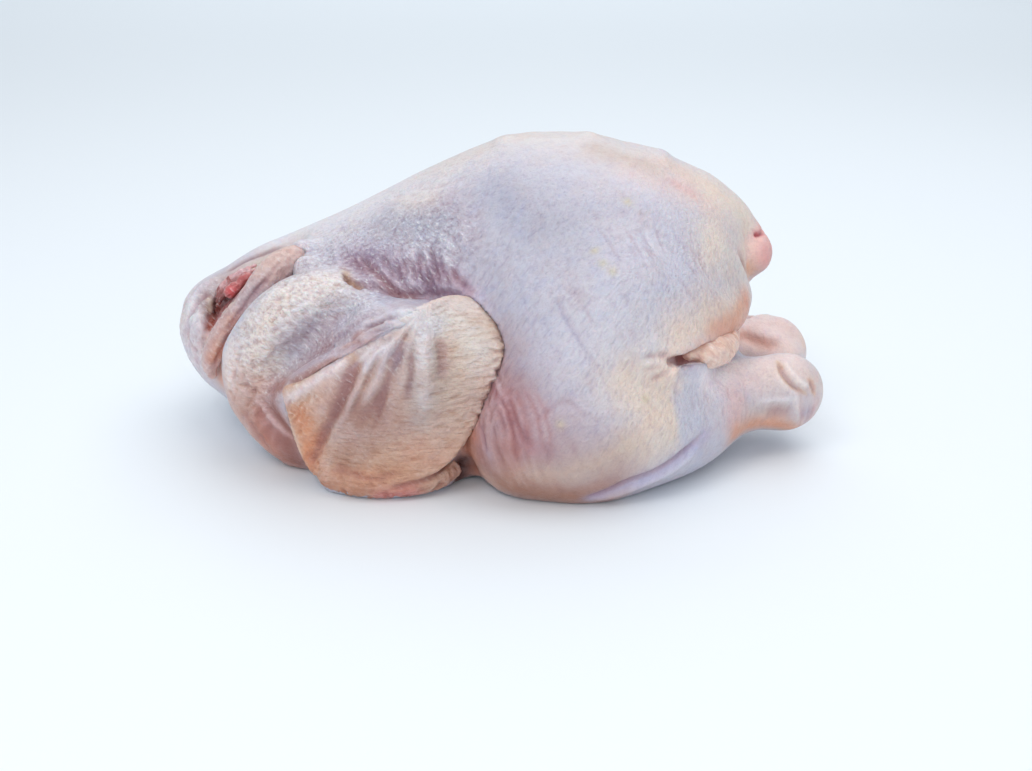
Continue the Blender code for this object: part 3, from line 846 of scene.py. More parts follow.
def roll_folds(skin):
    """Creases along the roll, and its ragged inner edge."""
    skin.crease(
        [(-87.5, -30, 76.5), (-97.5, -37, 66.5), (-105, -40, 57), (-112.5, -38, 45.5)], 1.2, 0.9, 0.3
    )
    skin.crease([(-99, -39, 60), (-106, -41, 52), (-112, -42, 42), (-116, -40, 33)], 1.0, 1.0, 0.2)
    skin.crease([(-109, -33, 57), (-113, -32, 51.5), (-116.5, -30, 44.5)], 1.2, -0.8, 0.2)
    ragged = skin.patch([(-104, -30, 61), (-109, -32, 56), (-114, -31, 49), (-117, -30, 41)], 3.5)
    skin.ripple(ragged, 2.2, (0.6, 0, -0.8), 1.4, 0.9, 57.0)
    skin.ripple(skin.whole, 3.4, (0.7, 0, 0.7), 2.0, 0.22, 53.0)


def flesh_folds(skin):
    skin.ripple(skin.whole, 1.8, (0.8, 0, 0.6), 2.0, 0.25, 91.0)


def fat_folds(skin):
    skin.ripple(skin.whole, 6.0, (0.2, 0, 1), 1.4, 0.5, 81.0)
    skin.ripple(skin.whole, 2.4, (0.2, 0, 1), 1.2, 0.12, 83.0)


def body_folds(skin):
    """The body's folds on both sides, and those that it has on one side only."""
    # The tail and the near hock stand up a little.
    from_tail = np.linalg.norm(skin.places - (107, 0, 76), axis=1)
    skin.places += np.exp(-((from_tail / 14) ** 2))[:, None] * (-1.6, 0, 1.8)
    x, y, z = skin.places.T
    skin.places[:, 2] += 2.8 * step(82, 104, x) * step(16, 32, -y) * (1 - step(48, 60, z))
    skin.renew()
    for side in BOTH:
        skin.side = side
        tuck_under_fan(skin)
        skin.renew()
        dome(skin)
        skin.renew()
        for fold in (arm_folds, flank_folds, knee_folds, hock_folds, tail_folds):
            fold(skin)
    skin.side = FAR
    skin.crease([(121, -28, 36), (131, -26, 31)], 6.0, 2.4, fine=False)
    skin.crease([(107, -25, 29), (112, -23, 27), (119, -20, 27)], 2.6, 1.3, fine=False)
    skin.side = NEAR
    neck_folds(skin)
    # The notch in the tail's end.
    skin.crease([(100, -8, 83.5), (102, -6, 83.3), (103, 0, 83), (102, 8, 83.3)], 0.9, 1.8)
    skin.renew()
    for side in BOTH:
        skin.side = side
        armpit_folds(skin)
        body_wrinkles(skin)


# ---------------------------------------------------------------- paint

# Colours as sRGB, 0 to 255.
LAVENDER = (203, 200, 212)
PALE = (226, 222, 226)
CREAM = (234, 216, 200)
SAND = (216, 192, 168)
PINK = (226, 188, 184)
ROSE = (212, 142, 140)
PEACH = (230, 184, 158)
ORANGE = (212, 140, 104)
MAUVE = (176, 152, 166)
BROWN = (112, 66, 48)


class Paint:
    """A skin's colour at each vertex, as sRGB shares, and the sides of the bird that strokes are laid on."""

    def __init__(self, skin, ground, sides=BOTH):
        self.skin = skin
        self.sides = sides
        self.colour = np.tile(np.array(ground, float) / 255, (len(skin.places), 1))

    def wash(self, points, radius, colour, strength=0.8, hard=False, all_round=False, fade=0.0, sides=None):
        """A stroke along a line, soft or with a hard edge. Fade thins that share of each end."""
        kept = self.skin.side
        for side in sides or self.sides:
            self.skin.side = side
            reach = HARD_REACH if hard else SOFT_REACH
            which, gap, _, along, facing = self.skin.near(points, reach * radius)
            if hard:
                weight = 1 - step(HARD_EDGE[0] * radius, HARD_EDGE[1] * radius, gap)
            else:
                weight = np.exp(-((gap / radius) ** 2))
            if fade:
                weight = weight * step(0, fade, along) * step(0, fade, 1 - along)
            if not all_round:
                weight = weight * step(*STROKE_FACING, facing)
            change = np.array(colour) / 255 - self.colour[which]
            self.colour[which] += (strength * weight)[:, None] * change
        self.skin.side = kept

    def shade_relief(self, dark, light):
        """Low places take a share of warmth and painted shade, high ones get paler as painted highlight."""
        low = dark * np.tanh(np.maximum(-self.skin.relief, 0) / FULL_RELIEF)[:, None]
        high = light * np.tanh(np.maximum(self.skin.relief, 0) / FULL_RELIEF)[:, None]
        self.colour *= 1 - low * LOW_SHADE
        self.colour += high * (1 - self.colour) * HIGH_SHINE

    def store(self, finish):
        """Writes the colour, and the shares of wrinkled, follicled and wet skin, to the mesh."""
        finish = np.broadcast_to(finish, self.colour.shape)
        for name, rows in (("skin_tint", linear(*(255 * self.colour.T)).T), ("skin_finish", finish)):
            layer = self.skin.piece.data.color_attributes.new(name, "FLOAT_COLOR", "POINT")
            layer.data.foreach_set("color", np.hstack([rows, np.ones((len(rows), 1))]).ravel())


def paint_elbow(wash):
    """The skin that runs over from the arm on to the fan, in one colour on both pieces."""
    wash(ELBOW_SEAM, 7, (190, 172, 180), 0.95)
    wash([(-41, -73, 68.5), (-33, -73, 69.5)], 5, (208, 206, 216), 0.85)
    # A painted highlight on the elbow's knob.
    wash(ELBOW_KNOB, 6, (226, 228, 236), 0.85)
    # Painted shade in the dips and painted highlights along the ridges between them.
    for dip in ELBOW_DIPS:
        wash(dip, 1.0, (150, 116, 124), 0.75, fade=0.25)
    for ridge in ELBOW_RIDGES:
        wash(ridge, 1.0, (222, 216, 224), 0.6, fade=0.2)


def paint_back(wash):
    """Cream along the back's ridge and over the rump, pale at the shoulders."""
    wash([(-88, 0, 76.5), (-62.5, -4, 89.5), (-39, -6, 102.5)], 20, PALE)
    wash(
        [(-23, -4, 111), (0.5, -4, 121), (26.5, -8, 120), (53, -14, 114), (73.5, -16, 102.5)],
        17, (216, 206, 202), 0.7,
    )
    wash([(-32.5, -28, 100.5), (-40.5, -24, 98.5)], 7, CREAM, 0.5)
    wash([(-22.5, -34, 101), (-17, -41, 97.5), (-14, -47, 89.5)], 6, MAUVE, 0.35)
    wash([(49, -26, 114), (65.5, -26, 107.5), (77.5, -24, 101)], 9, (224, 198, 196), 0.6)
    wash([(63.5, -24, 109.5), (71.5, -25, 105.5)], 3.0, ROSE, 0.35)
    wash([(81.5, -14, 101), (89.5, -10, 93), (96, -8, 83.5)], 13, CREAM, 0.85)
    wash([(82, -36, 87), (88.5, -28, 73), (91, -27, 63)], 11, CREAM, 0.6)


def paint_thigh(wash):
    """Cool above, warmer and darker towards the knee and the surface."""
    wash([(-11.5, -52, 83.5), (8.5, -60, 80), (-0.5, -66, 60)], 18, (190, 188, 202), 0.7)
    wash([(-5, -36, 106), (0, -42, 103), (6, -48, 99)], 11, (176, 176, 192), 0.75)
    wash([(16, -52, 96), (26, -56, 93)], 11, (188, 186, 198), 0.6)
    wash([(-48, -27, 92.5), (-38, -34, 93), (-28, -38, 94)], 9, (178, 176, 190), 0.65)
    wash([(3.5, -76, 54), (16, -84, 44.5), (24.5, -86, 36.5)], 12, (184, 174, 188), 0.7)
    wash([(39.5, -76, 67.5), (30, -80, 51)], 18, PALE, 0.35)
    wash([(36, -16, 117.5), (54, -20, 113.5)], 8, (198, 180, 172), 0.75)
    wash([(60, -12, 113), (68, -12, 110)], 7, (224, 192, 176), 0.5)
    wash([(14, -40, 108.5), (18, -39, 109)], 8, (188, 184, 194), 0.35)
    wash([(46, -82, 47.5), (52.5, -84, 36), (50.5, -86, 25.5)], 12, CREAM, 0.85)
    wash([(65.5, -72, 62.5), (79.5, -54, 61), (89, -30, 59)], 10, (236, 216, 200), 0.85)
    wash([(75, -56, 68.5), (83, -46, 63)], 8, (230, 204, 186), 0.6)
    wash(
        [(66, -68, 57), (75, -57, 57.5), (85, -43, 56.5), (90, -33, 57), (93.5, -28, 63)],
        4.6, (230, 156, 128),
    )
    # Darker and warmer over the knee: partly the skin's own tone, partly painted shade.
    wash([(-6.5, -70, 51.5), (-7.5, -76, 33.5), (-5, -82, 17.5)], 11, (170, 122, 118), 0.85)
    wash([(2.5, -84, 34), (7, -90, 16)], 12, (170, 124, 122), 0.75)
    wash([(6, -85, 42), (14.5, -90, 30.5), (17, -93, 20.5)], 6, (164, 118, 128), 0.35)
    wash([(21, -92, 24.5), (37, -92, 19)], 13, (180, 150, 150), 0.65)
    # Warm and dark along the bottom: partly painted shade and warm light from below.
    wash([(1.5, -86, 8), (21.5, -88, 5.5), (37.5, -88, 7)], 9, (168, 118, 98), 0.9)
    wash([(5, -91, 16), (18, -93, 16.5), (32, -94, 20), (45, -91, 26.5)], 6, SAND, 0.5)
    wash(KNEE_GROOVES[0], 2.0, (164, 96, 100), 0.35)
    wash(KNEE_GROOVES[1], 2.0, (172, 96, 96), 0.3)
    # A painted glint along the knee's ridge.
    wash(KNEE_RIDGE, 0.9, PALE, 0.25)
    wash([(-1.5, -81, 41), (4, -88, 34.5), (8.5, -91, 28.5), (13, -93, 25.5)], 4.0, (176, 130, 142), 0.25)
    # Streaks over the knee: pale lines of painted highlight, each with a red line beside it.
    for lean in (0, 3.2, 6.1, 10.5, 14):
        streak = [(lean - 5, -77, 46), (lean - 1, -84, 39), (lean + 1.5, -90, 31), (lean + 2, -92, 23)]
        wash(streak, 0.8, (224, 212, 218), 0.3, fade=0.4)
        wash([(x + 1.5, y, z) for x, y, z in streak], 0.9, (178, 112, 108), 0.28, fade=0.4)
    wash([(2, -74, 55), (6, -76, 52)], 5, (186, 178, 192), 0.45)
    wash([(2, -80, 46), (3, -87, 36), (4, -91, 27)], 6, (158, 110, 110), 0.3)
    wash([(2, -90, 25), (3.5, -92, 18)], 5, (166, 104, 94), 0.4)
    wash(KNEE_EDGE, 1.8, MAUVE, 0.6)
    wash([(-11, -76, 19.5), (-9, -80, 9.5), (-4.5, -82, 4.5)], 4, PEACH, 0.6)


def paint_leg(wash):
    """Drumstick and hock, sharply different in colour from the thigh, and the flank's edge over the fat."""
    drumstick = [(69, -67, 46.5), (69.5, -71, 40.5), (70, -72, 33.5), (70, -73, 27.5)]
    wash([(60, -77, 48), (61.5, -79, 40), (61.5, -80, 30)], 9, (232, 214, 198), 0.85)
    wash(drumstick, 9.5, (203, 201, 213), 0.95, hard=True)
    wash([(80, -58, 37), (82.5, -58, 27)], 9, (212, 204, 212))
    wash([(88, -50, 38), (90.5, -54, 30), (89.5, -58, 23)], 7, PINK, 0.75)
    # Painted light where the drumstick lies in the fat's shade.
    wash([(75, -64, 43), (80, -56, 38), (87, -44, 38.5)], 5.5, (255, 246, 252), 0.9)
    wash([(95, -44, 35), (98.5, -43, 34)], 5, (246, 208, 206), 0.5)
    wash([(61, -74, 56.5), (58, -76, 54)], 3.5, (244, 222, 208), 0.75)
    wash([(62, -76, 48.5), (64, -75, 44)], 4, (246, 226, 212), 0.65)
    wash([(76, -43, 83), (79, -38, 90)], 8, (244, 226, 208), 0.5)
    wash([(76, -57, 60), (83, -46, 60), (89, -34, 61)], 4.0, (224, 158, 128), 0.7)
    wash([(104, -42, 37.5), (112, -40, 36), (122, -36, 32.5)], 10, (224, 204, 196), 0.85)
    wash([(90, -40, 41), (97.5, -38, 41.5), (107.5, -32, 43), (117.5, -30, 42)], 6, (236, 216, 212))
    wash([(100.5, -48, 23.5), (110.5, -45, 22)], 5, (206, 190, 186), 0.7)
    wash(SINEW, 1.3, PALE, 0.6)
    # Orange underneath: partly painted warm light from below.
    wash([(90.5, -56, 17), (98.5, -48, 16.5), (108.5, -44, 14), (116.5, -38, 12)], 5, (230, 158, 122))
    # Painted shade in the hock's slit and nick.
    wash(HOCK_SLIT, 1.0, (206, 168, 136), 0.6)
    wash(HOCK_NICK, 0.9, (216, 176, 150), 0.6)
    wash([(116, -43, 31), (117.5, -43, 23), (118.5, -38, 15)], 1.8, (238, 222, 216), 0.6)
    # Painted highlights on the raised borders beside the slit.
    wash(HOCK_LIP, 1.0, (244, 230, 222), 0.6, fade=0.2)
    wash([(107, -36, 40), (108.5, -41, 35), (112.5, -44, 31)], 0.9, (242, 226, 216), 0.5, fade=0.2)
    wash([(124.5, -38, 22.5), (124.5, -36, 15.5)], 4, PINK, 0.6)
    wash(
        [(32.5, -88, 4), (43.5, -87, 8.5), (55, -83, 11), (67, -78, 17.5), (76.5, -72, 22.5)],
        3.2, (192, 186, 212), 0.85,
    )
    # Painted shade in the pit and the hollow by the fat, and painted warm shadow under the flank's edge.
    wash([(60.5, -73, 54), (62, -72, 53.5)], 1.2, (150, 112, 100), 0.7)
    wash([(65, -68, 52.5), (70, -62, 50.5)], 3.0, (150, 78, 66), 0.85, all_round=True)
    wash([(69.5, -64, 53.5), (79.5, -48, 52), (89.5, -30, 51)], 2.2, ORANGE, 0.6)
    # The far hock's inner side, which the camera sees.
    for points, radius, colour, strength in (
        ([(106, -30, 36.5), (118, -30, 37), (130, -28, 32.5)], 11, (236, 212, 208), 0.9),
        # Painted light that lifts the shade on the inner side's lower part.
        ([(106, -22, 27), (112, -22, 26), (124, -22, 24)], 8, (255, 226, 218), 0.92),
        ([(106, -25, 30), (111, -23, 28), (117, -21, 27)], 3.0, (228, 172, 154), 0.8),
    ):
        wash(points, radius, colour, strength, all_round=True, sides=(FAR,))


def paint_arm(wash):
    """The upper arm: cream and rough, with a cool valley below it and dark flesh under that, partly painted
    shade.
    """
    wash(
        [(-67.5, -50, 71.5), (-79, -52, 67), (-90.5, -57, 54.5), (-96.5, -58, 42.5)],
        11, (244, 236, 230), 0.92,
    )
    wash([(-59, -60, 66.5), (-72.5, -62, 57), (-86.5, -62, 46.5)], 5.5, (192, 176, 187), 0.75, fade=0.2)
    wash([(-62, -66, 58), (-72, -66, 50), (-80, -66, 44)], 6, (182, 160, 172), 0.6, fade=0.2)
    wash([(-66.5, -67, 51.5), (-78, -66, 42), (-88, -64, 36)], 5, (176, 146, 150), 0.7)
    paint_elbow(wash)
    wash([(-86, -66, 36.5), (-76, -67, 43), (-64.5, -69, 49.5)], 1.5, (208, 194, 200), 0.7, fade=0.2)
    # Painted shadow along the top of the flap's edge.
    wash([(-86, -67, 34), (-79, -68, 39), (-71, -70, 44)], 3.2, (170, 122, 114), 0.7, fade=0.2)
    wash([(-83, -68, 35), (-74, -69, 41), (-65.5, -71, 47.5)], 1.8, (150, 96, 88), 0.75, fade=0.25)
    wash(
        [(-81, -72, 40), (-75.5, -74, 44), (-66.5, -76, 50), (-58, -76, 55)],
        2.4, (166, 118, 110), 0.8, fade=0.2,
    )
    wash([(-61, -76, 53.5), (-51.5, -77, 59), (-45, -76, 62.5)], 1.4, (186, 150, 152), 0.6, fade=0.2)
    wash([(-73, -71, 50), (-64, -73, 55), (-55, -74, 60)], 1.3, (214, 204, 214), 0.6, fade=0.3)
    for crease in ([(-63, -72, 55), (-56, -73, 58), (-48, -74, 61)], [(-58, -72, 60), (-51, -73, 63)]):
        wash(crease, 1.0, (196, 146, 136), 0.6, fade=0.3)
    # Warm and dark low down: partly painted shade and warm light from below.
    wash([(-98, -61, 30), (-92.5, -63, 18.5), (-87, -64, 4.5)], 11, (186, 120, 100), 0.9)
    wash([(-96, -62, 36.5), (-99, -60, 28)], 6, (206, 178, 168), 0.6)
    wash([(-89.5, -64, 24.5), (-85.5, -65, 16.5)], 5, (166, 112, 110), 0.6)
    # Painted shade beside the flap's left edge.
    wash([(-85.5, -67, 39), (-84, -67, 31)], 3.5, (166, 124, 122), 0.75)
    wash([(-83, -66, 29), (-82.5, -66, 17), (-82, -66, 5)], 5, (146, 90, 80), 0.85)
    wash([(-103, -54, 36), (-104, -54, 24), (-97, -56, 6)], 7, (216, 178, 162), 0.7)
    wash([(-104.5, -57, 48), (-106, -57, 37)], 5.5, (250, 236, 232), 0.85)
    wash([(-88, -60, 48), (-92, -61, 44)], 5, (246, 238, 232), 0.5)
    wash(ARM_RIDGE, 1.2, PINK, 0.6)
    wash([(-85.5, -36, 71), (-93, -43, 63.5), (-101, -48, 56)], 3.5, (216, 214, 228))
    wash([(-62.5, -45, 74.5), (-59.5, -46, 71.5), (-55.5, -50, 71)], 1.6, (226, 188, 130))
    wash([(-62.5, -46, 75.5), (-60.5, -47, 72.5)], 0.8, BROWN, 0.6)


def paint_armpit(wash):
    """Purple painted shade in the armpit, with fine lines of painted shade and painted highlights between
    them.
    """
    wash(
        [(-59.5, -36, 77.5), (-47.5, -42, 76), (-35.5, -47, 75.5), (-25.5, -50, 75), (-13, -55, 70.5)],
        8, (180, 160, 180), 0.75,
    )
    wash([(-52, -40, 81), (-44, -44, 81)], 5, (150, 130, 154), 0.55)
    wash(
        [(-57.5, -36, 78), (-47.5, -46, 72), (-39, -51, 68.5), (-31, -52, 69.5)],
        2.4, (158, 104, 112), 0.65, fade=0.2,
    )
    wash([(-31.5, -47, 76.5), (-27.5, -50, 73), (-25.5, -48, 79)], 3.2, (150, 124, 150), 0.6)
    for line in armpit_lines():
        wash(line, 0.8, (142, 104, 124), 0.5, fade=0.3)
        wash([(x + 1.3, y, z + 0.2) for x, y, z in line], 0.7, (220, 214, 226), 0.4, fade=0.3)
    wash([(-19.5, -49, 78), (-14.5, -53, 73.5), (-9, -60, 66.5)], 2.4, (168, 122, 136), 0.5)


def paint_neck(wash):
    """The cut neck: pale skin on its lobe, dark flesh and painted shadow in its holes, and warm skin round
    them.
    """
    wash([(-120.5, -22, 35.5), (-129, -10, 45), (-125, 6, 45.5)], 14, (228, 216, 218), 0.85)
    wash([(-125.5, -12, 57.5), (-127, -16, 49), (-124, -22, 41.5)], 4, (208, 196, 204), 0.5)
    wash([(-92, -6, 76.5), (-104, -6, 70), (-115.5, -6, 62.5), (-121.5, -7, 55.5)], 5, (200, 182, 180), 0.7)
    wash(
        [(-94, -3, 75.5), (-102, -2, 71), (-111.5, -2, 65), (-117.5, -5, 59.5)],
        0.9, (150, 128, 128), 0.5, fade=0.2,
    )
    wash([(-96, -11, 73.5), (-104, -12, 69.5), (-109.5, -12, 66)], 3.0, (216, 208, 194), 0.75)
    wash([(-105.5, -16, 65), (-111.5, -17, 60)], 3.5, (186, 108, 108), 0.85)
    wash([(-99.5, -20, 69), (-105.5, -24, 64)], 4, (206, 150, 142))
    wash([(-109, -26, 59), (-115, -26, 51.5)], 4, (176, 90, 74))
    # Painted shadow on the holes' walls and deep in them.
    wash([(-108, -25, 61), (-112, -27, 57), (-116, -26, 52)], 6.0, (118, 56, 48), 0.9, all_round=True)
    wash([(-111, -20, 58), (-115, -20, 54), (-118, -17, 51)], 4.0, (74, 26, 20), 0.95, all_round=True)
    # Painted light that lifts the shade in the hollow by the roll's upper end.
    wash([(-82, -22, 80), (-80, -25, 75.5), (-80, -32, 75)], 4.5, (232, 228, 236), 0.85, all_round=True)
    # Painted shadow on the pit's far wall.
    wash([(-119, -10, 49.5), (-112, -8, 53.5)], 7.0, (104, 46, 34), 0.95, all_round=True)
    wash([(-130, -16, 51.4), (-127, -18, 48)], 5.5, (232, 234, 240), 0.85)
    wash([(-120.5, -19, 47.5), (-121, -20, 44.5)], 2.6, (164, 70, 50), 0.9)
    wash([(-122.5, -15, 54.5), (-122.5, -16, 50.5)], 1.2, (226, 206, 186))
    wash([(-119.5, -30, 39.5), (-117.5, -34, 35.5), (-115, -38, 29.5)], 5, (216, 148, 116))
    wash([(-112, -42, 29.5), (-109.5, -44, 18)], 8, (226, 178, 166))


def paint_tail(wash):
    """The vent under the tail, warm and pale, the hocks' ends, and the tail's pink end with a dark notch."""
    wash([(92, 0, 62), (90, 0, 48), (86, 0, 34)], 14, (232, 204, 194), 0.7, all_round=True)
    wash([(134, -31, 24), (134, -31, 18)], 7, (240, 218, 208), 0.75, all_round=True)
    wash([(136, -31, 24)], 3, (226, 186, 174), 0.5, all_round=True)
    wash([(93, -22, 82), (95, -20, 76), (97, -14, 72)], 6, (238, 216, 200))
    wash(
        [(103, -11, 80), (104, -9, 75), (104, -4, 82), (103, 0, 78)],
        5.0, (232, 164, 158), 0.85, all_round=True,
    )
    wash([(105, -5, 73), (102, 0, 70)], 5.0, (230, 172, 160), 0.7, all_round=True)
    wash([(98, -13, 75), (99, -10, 81)], 4.5, (252, 214, 204), 0.75)
    wash([(99.5, -8, 84.5), (102.5, -5, 83.5)], 1.6, (206, 104, 110), 0.85)
    wash([(96.5, -14, 72), (97.5, -8, 68)], 3, (224, 164, 128), 0.7)
    # Painted shade under the edge of the rump's skin.
    wash([(91, -24, 76), (93.5, -21, 72.5), (95.5, -17, 68.5)], 1.4, (176, 122, 96), 0.7)


def paint_marks(wash):
    """Painted shadow between the wing's tip and the knee, veins, and a few yellow spots."""
    # Painted shadow in the gap between the wing's tip and the knee.
    wash([(-11, -74, 24), (-12, -74, 14), (-13, -73, 5)], 6, (196, 130, 108), 0.9, all_round=True)
    wash([(-17, -70, 9), (-17, -70, 2)], 4.5, (74, 36, 30), 0.95, all_round=True)
    wash([(7.5, -40, 107), (5.5, -44, 102), (4, -47, 98), (3, -50, 93)], 0.7, (172, 176, 208), 0.4, fade=0.3)
    wash(
        [(17, -69, 78.5), (20, -74, 71.5), (25.5, -79, 64), (31.5, -82, 56)],
        0.7, (176, 178, 206), 0.4, fade=0.3,
    )
    spots = [
        (31.5, -61, 93), (34.5, -66, 89), (38.5, -69, 86.5), (44.5, -41, 103.5), (52, -83, 42),
        (20.5, -90, 34.5),
    ]
    for spot in spots:
        wash([spot], 1.6, (206, 194, 158), 0.6)


def paint_body(skin):
    paint = Paint(skin, LAVENDER)
    for part in (paint_back, paint_thigh, paint_leg, paint_arm, paint_armpit):
        part(paint.wash)
    paint.sides = (NEAR,)
    paint_neck(paint.wash)
    paint.sides = BOTH
    paint_tail(paint.wash)
    paint_marks(paint.wash)
    paint.shade_relief(0.16, 0.25)
    finish = np.zeros((len(skin.places), 3))
    for side in BOTH:
        skin.side = side
        wrinkled = skin.patch([(-52, -30, 88), (-2, -50, 90), (39.5, -70, 61.5), (79, -50, 63)], 50)
        follicled = skin.patch([(-71.5, -50, 71.5), (-90.5, -57, 54.5), (-96, -60, 36.5)], 16)
        follicled += 0.5 * skin.patch(ELBOW_SEAM, 7)
        # Wet skin gets a gloss coat, and painted glints from the material.
        wet = skin.patch([(-101.5, -30, 66), (-61.5, -40, 81.5), (-32, -45, 88.5), (-88.5, -58, 50.5)], 20)
        wet += 0.6 * skin.patch(LOBE, 14)
        finish = np.maximum(finish, np.stack((wrinkled, follicled, wet), axis=1))
    paint.store(finish)


def paint_fan(wash):
    """Pale towards the elbow and the free margin, dusky in the middle, warm below."""
    wash([(-21, 67), (-12.5, 61.5), (-9.5, 51.5)], 10, (224, 217, 210), 0.9)
    wash([(-7, 45.5), (-10.5, 33.5)], 7, (226, 200, 188), 0.75)
    wash([(-22.5, 53), (-22, 43)], 7, (212, 196, 182), 0.7)
    wash([(-18, 35), (-25.5, 25)], 9, (210, 182, 168), 0.7)
    wash([(-30.5, 56.5), (-31, 44.5), (-31.5, 32.5)], 6, (188, 170, 168))
    wash([(-40.5, 52.5), (-46, 40), (-51.5, 30)], 9, (182, 154, 150))
    wash([(-53.5, 28), (-57.5, 17.5)], 8, (184, 144, 128), 0.7)
    wash([(-71, 11), (-63, 8.5)], 4, (214, 182, 166), 0.6)
    # Warmer and darker low down: partly painted warm light from below and painted shade.
    wash([(-67, 3.5), (-55, 2)], 5, (198, 126, 92), 0.7)
    wash([(-49, 12), (-37, 12.5)], 7, (200, 148, 116), 0.7)
    wash([(-33.5, 20.5), (-23, 17)], 7, (212, 166, 144), 0.7)
    wash([(-34.5, -85, 1.5), (-44.5, -86, 1)], 4.5, (206, 112, 108), 0.75)
    wash([(-13, -72, 7.5), (-23, -76, 7), (-28.5, -78, 2.5)], 5, (170, 112, 88), 0.8, all_round=True)


def paint_flap(wash):
    """The fan's front flap, with a painted highlight along its thick edge."""
    wash([(-58, 47.5), (-60, 40.5)], 4, (200, 170, 168), 0.7)
    wash([(-66, 40.5), (-67.5, 31.5)], 5, (212, 168, 148))
    wash([(-75.5, 31), (-73.5, 22), (-73, 12)], 5.5, (216, 142, 100), 0.9)
    # A painted highlight along the flap's thick upper edge.
    wash([(-81, 36), (-74, 41.5), (-66, 47.5), (-58.5, 52.5)], 2.2, (226, 208, 208), 0.85)
    wash([(-82, 35), (-80, 25), (-77, 13)], 1.2, (232, 202, 180), 0.7)


def paint_grooves(wash):
    """The fan's grooves in painted shade, its ridges in painted highlight, and its dusky middle."""
    # Painted shade down the grooves and painted highlights along the ridges.
    wash(
        [(-52.5, 55), (-55, 48), (-60, 37.5), (-65.5, 25.5), (-71, 14)],
        3.4, (172, 132, 126), 0.45, fade=0.35,
    )
    wash([(-56, 45), (-61, 34.5), (-65.5, 24.5)], 1.1, (136, 92, 90), 0.4, fade=0.4)
    wash([(-65.5, 25.5), (-70, 16), (-74, 9)], 2.2, (176, 118, 102), 0.7, fade=0.3)
    wash([(-39.5, 61.5), (-47.5, 55), (-52, 48)], 2.0, (220, 212, 220), 0.8, fade=0.25)
    wash([(-52, 47), (-58, 35.5), (-65.5, 23.5)], 1.6, (186, 154, 146), 0.6, fade=0.25)
    wash([(-50, 34), (-56, 24)], 5, (168, 134, 126), 0.35)
    wash([(-37.5, 58.5), (-39, 53.5), (-41, 48.5)], 1.5, (150, 138, 154), 0.55, fade=0.3)
    wash([(-42, 47.5), (-45, 40), (-47.5, 32)], 1.8, (158, 128, 126), 0.4, fade=0.35)
    wash([(-38.5, 60.5), (-43.5, 53.5), (-47, 45)], 1.3, (196, 182, 190), 0.6, fade=0.3)
    wash([(-30.5, 60.5), (-29, 53), (-29, 43), (-30, 34.5)], 2.0, (208, 198, 198), 0.4, fade=0.3)
    wash([(-25.5, 57), (-24, 48)], 3.0, (182, 162, 154), 0.35)
    wash([(-58, 35), (-45, 33)], 8.5, (166, 128, 118), 0.55)
    wash([(-62, 9), (-52, 8)], 5, (200, 140, 108), 0.5)
    wash([(-53, 24), (-60, 16)], 7, (180, 138, 116), 0.4)
    wash([(-27, 52), (-27, 42)], 8, (188, 170, 160), 0.55)
    wash([(-56.5, 38.5), (-57, 26.5)], 4.5, (174, 138, 128), 0.4)
    wash([(-33.5, 56.5), (-34, 46.5), (-37, 36.5)], 1.4, (160, 142, 150), 0.35, fade=0.35)


def paint_fan_top(wash):
    """The fan's skin under the elbow: painted highlight on ridges, its rim, painted shade under its margin."""
    wash([(-41, 65.5), (-48, 59.5), (-55, 53.5)], 4.5, (206, 192, 196), 0.7, fade=0.2)
    # Painted shade down a groove, a painted highlight on the ridge beside it, and painted shade down the next.
    wash([(-37, 62), (-41, 53)], 4.0, (182, 170, 182), 0.5, fade=0.2)
    wash([(-31, 68), (-30, 60), (-30, 50)], 3.0, (224, 222, 230), 0.6, fade=0.2)
    wash([(-26, 61), (-25.5, 53), (-26, 44)], 2.8, (182, 162, 150), 0.55, fade=0.2)
    # Painted highlights along the fine ridges.
    for ridge in ([(-38, 64), (-46, 55)], [(-36, 65), (-41, 56)], [(-44, 62), (-52, 54), (-57, 48)]):
        wash(ridge, 0.9, (232, 224, 228), 0.55, fade=0.3)
    rim = [(-30, -70, 72), (-24, -65, 72.3), (-19, -63, 70.5), (-12, -62, 69)]
    wash(rim, 4.5, (224, 210, 204), 0.85, all_round=True)
    # Painted shade under the margin.
    wash([(-13, -60, 61.5), (-8.5, -66, 49.5), (-14, -70, 33.5)], 4, (190, 140, 120), 0.5, all_round=True)


def paint_wing(skin):
    paint = Paint(skin, (204, 168, 147), (skin.side,))
    for part in (paint_fan, paint_flap, paint_grooves, paint_elbow, paint_fan_top):
        part(paint.wash)
    paint.shade_relief(0.22, 0.3)
    wrinkled = 0.3 * skin.whole
    follicled = skin.patch([(-14.5, 59.5), (-20, 39), (-39.5, 18.5), (-59, 13.5)], 20)
    # Wet skin gets a gloss coat, and painted glints from the material.
    wet = 0.15 + 0.3 * skin.patch([(-34.5, 62.5), (-60, 47.5), (-78, 36)], 9)
    paint.store(np.stack((wrinkled, follicled, wet), axis=1))


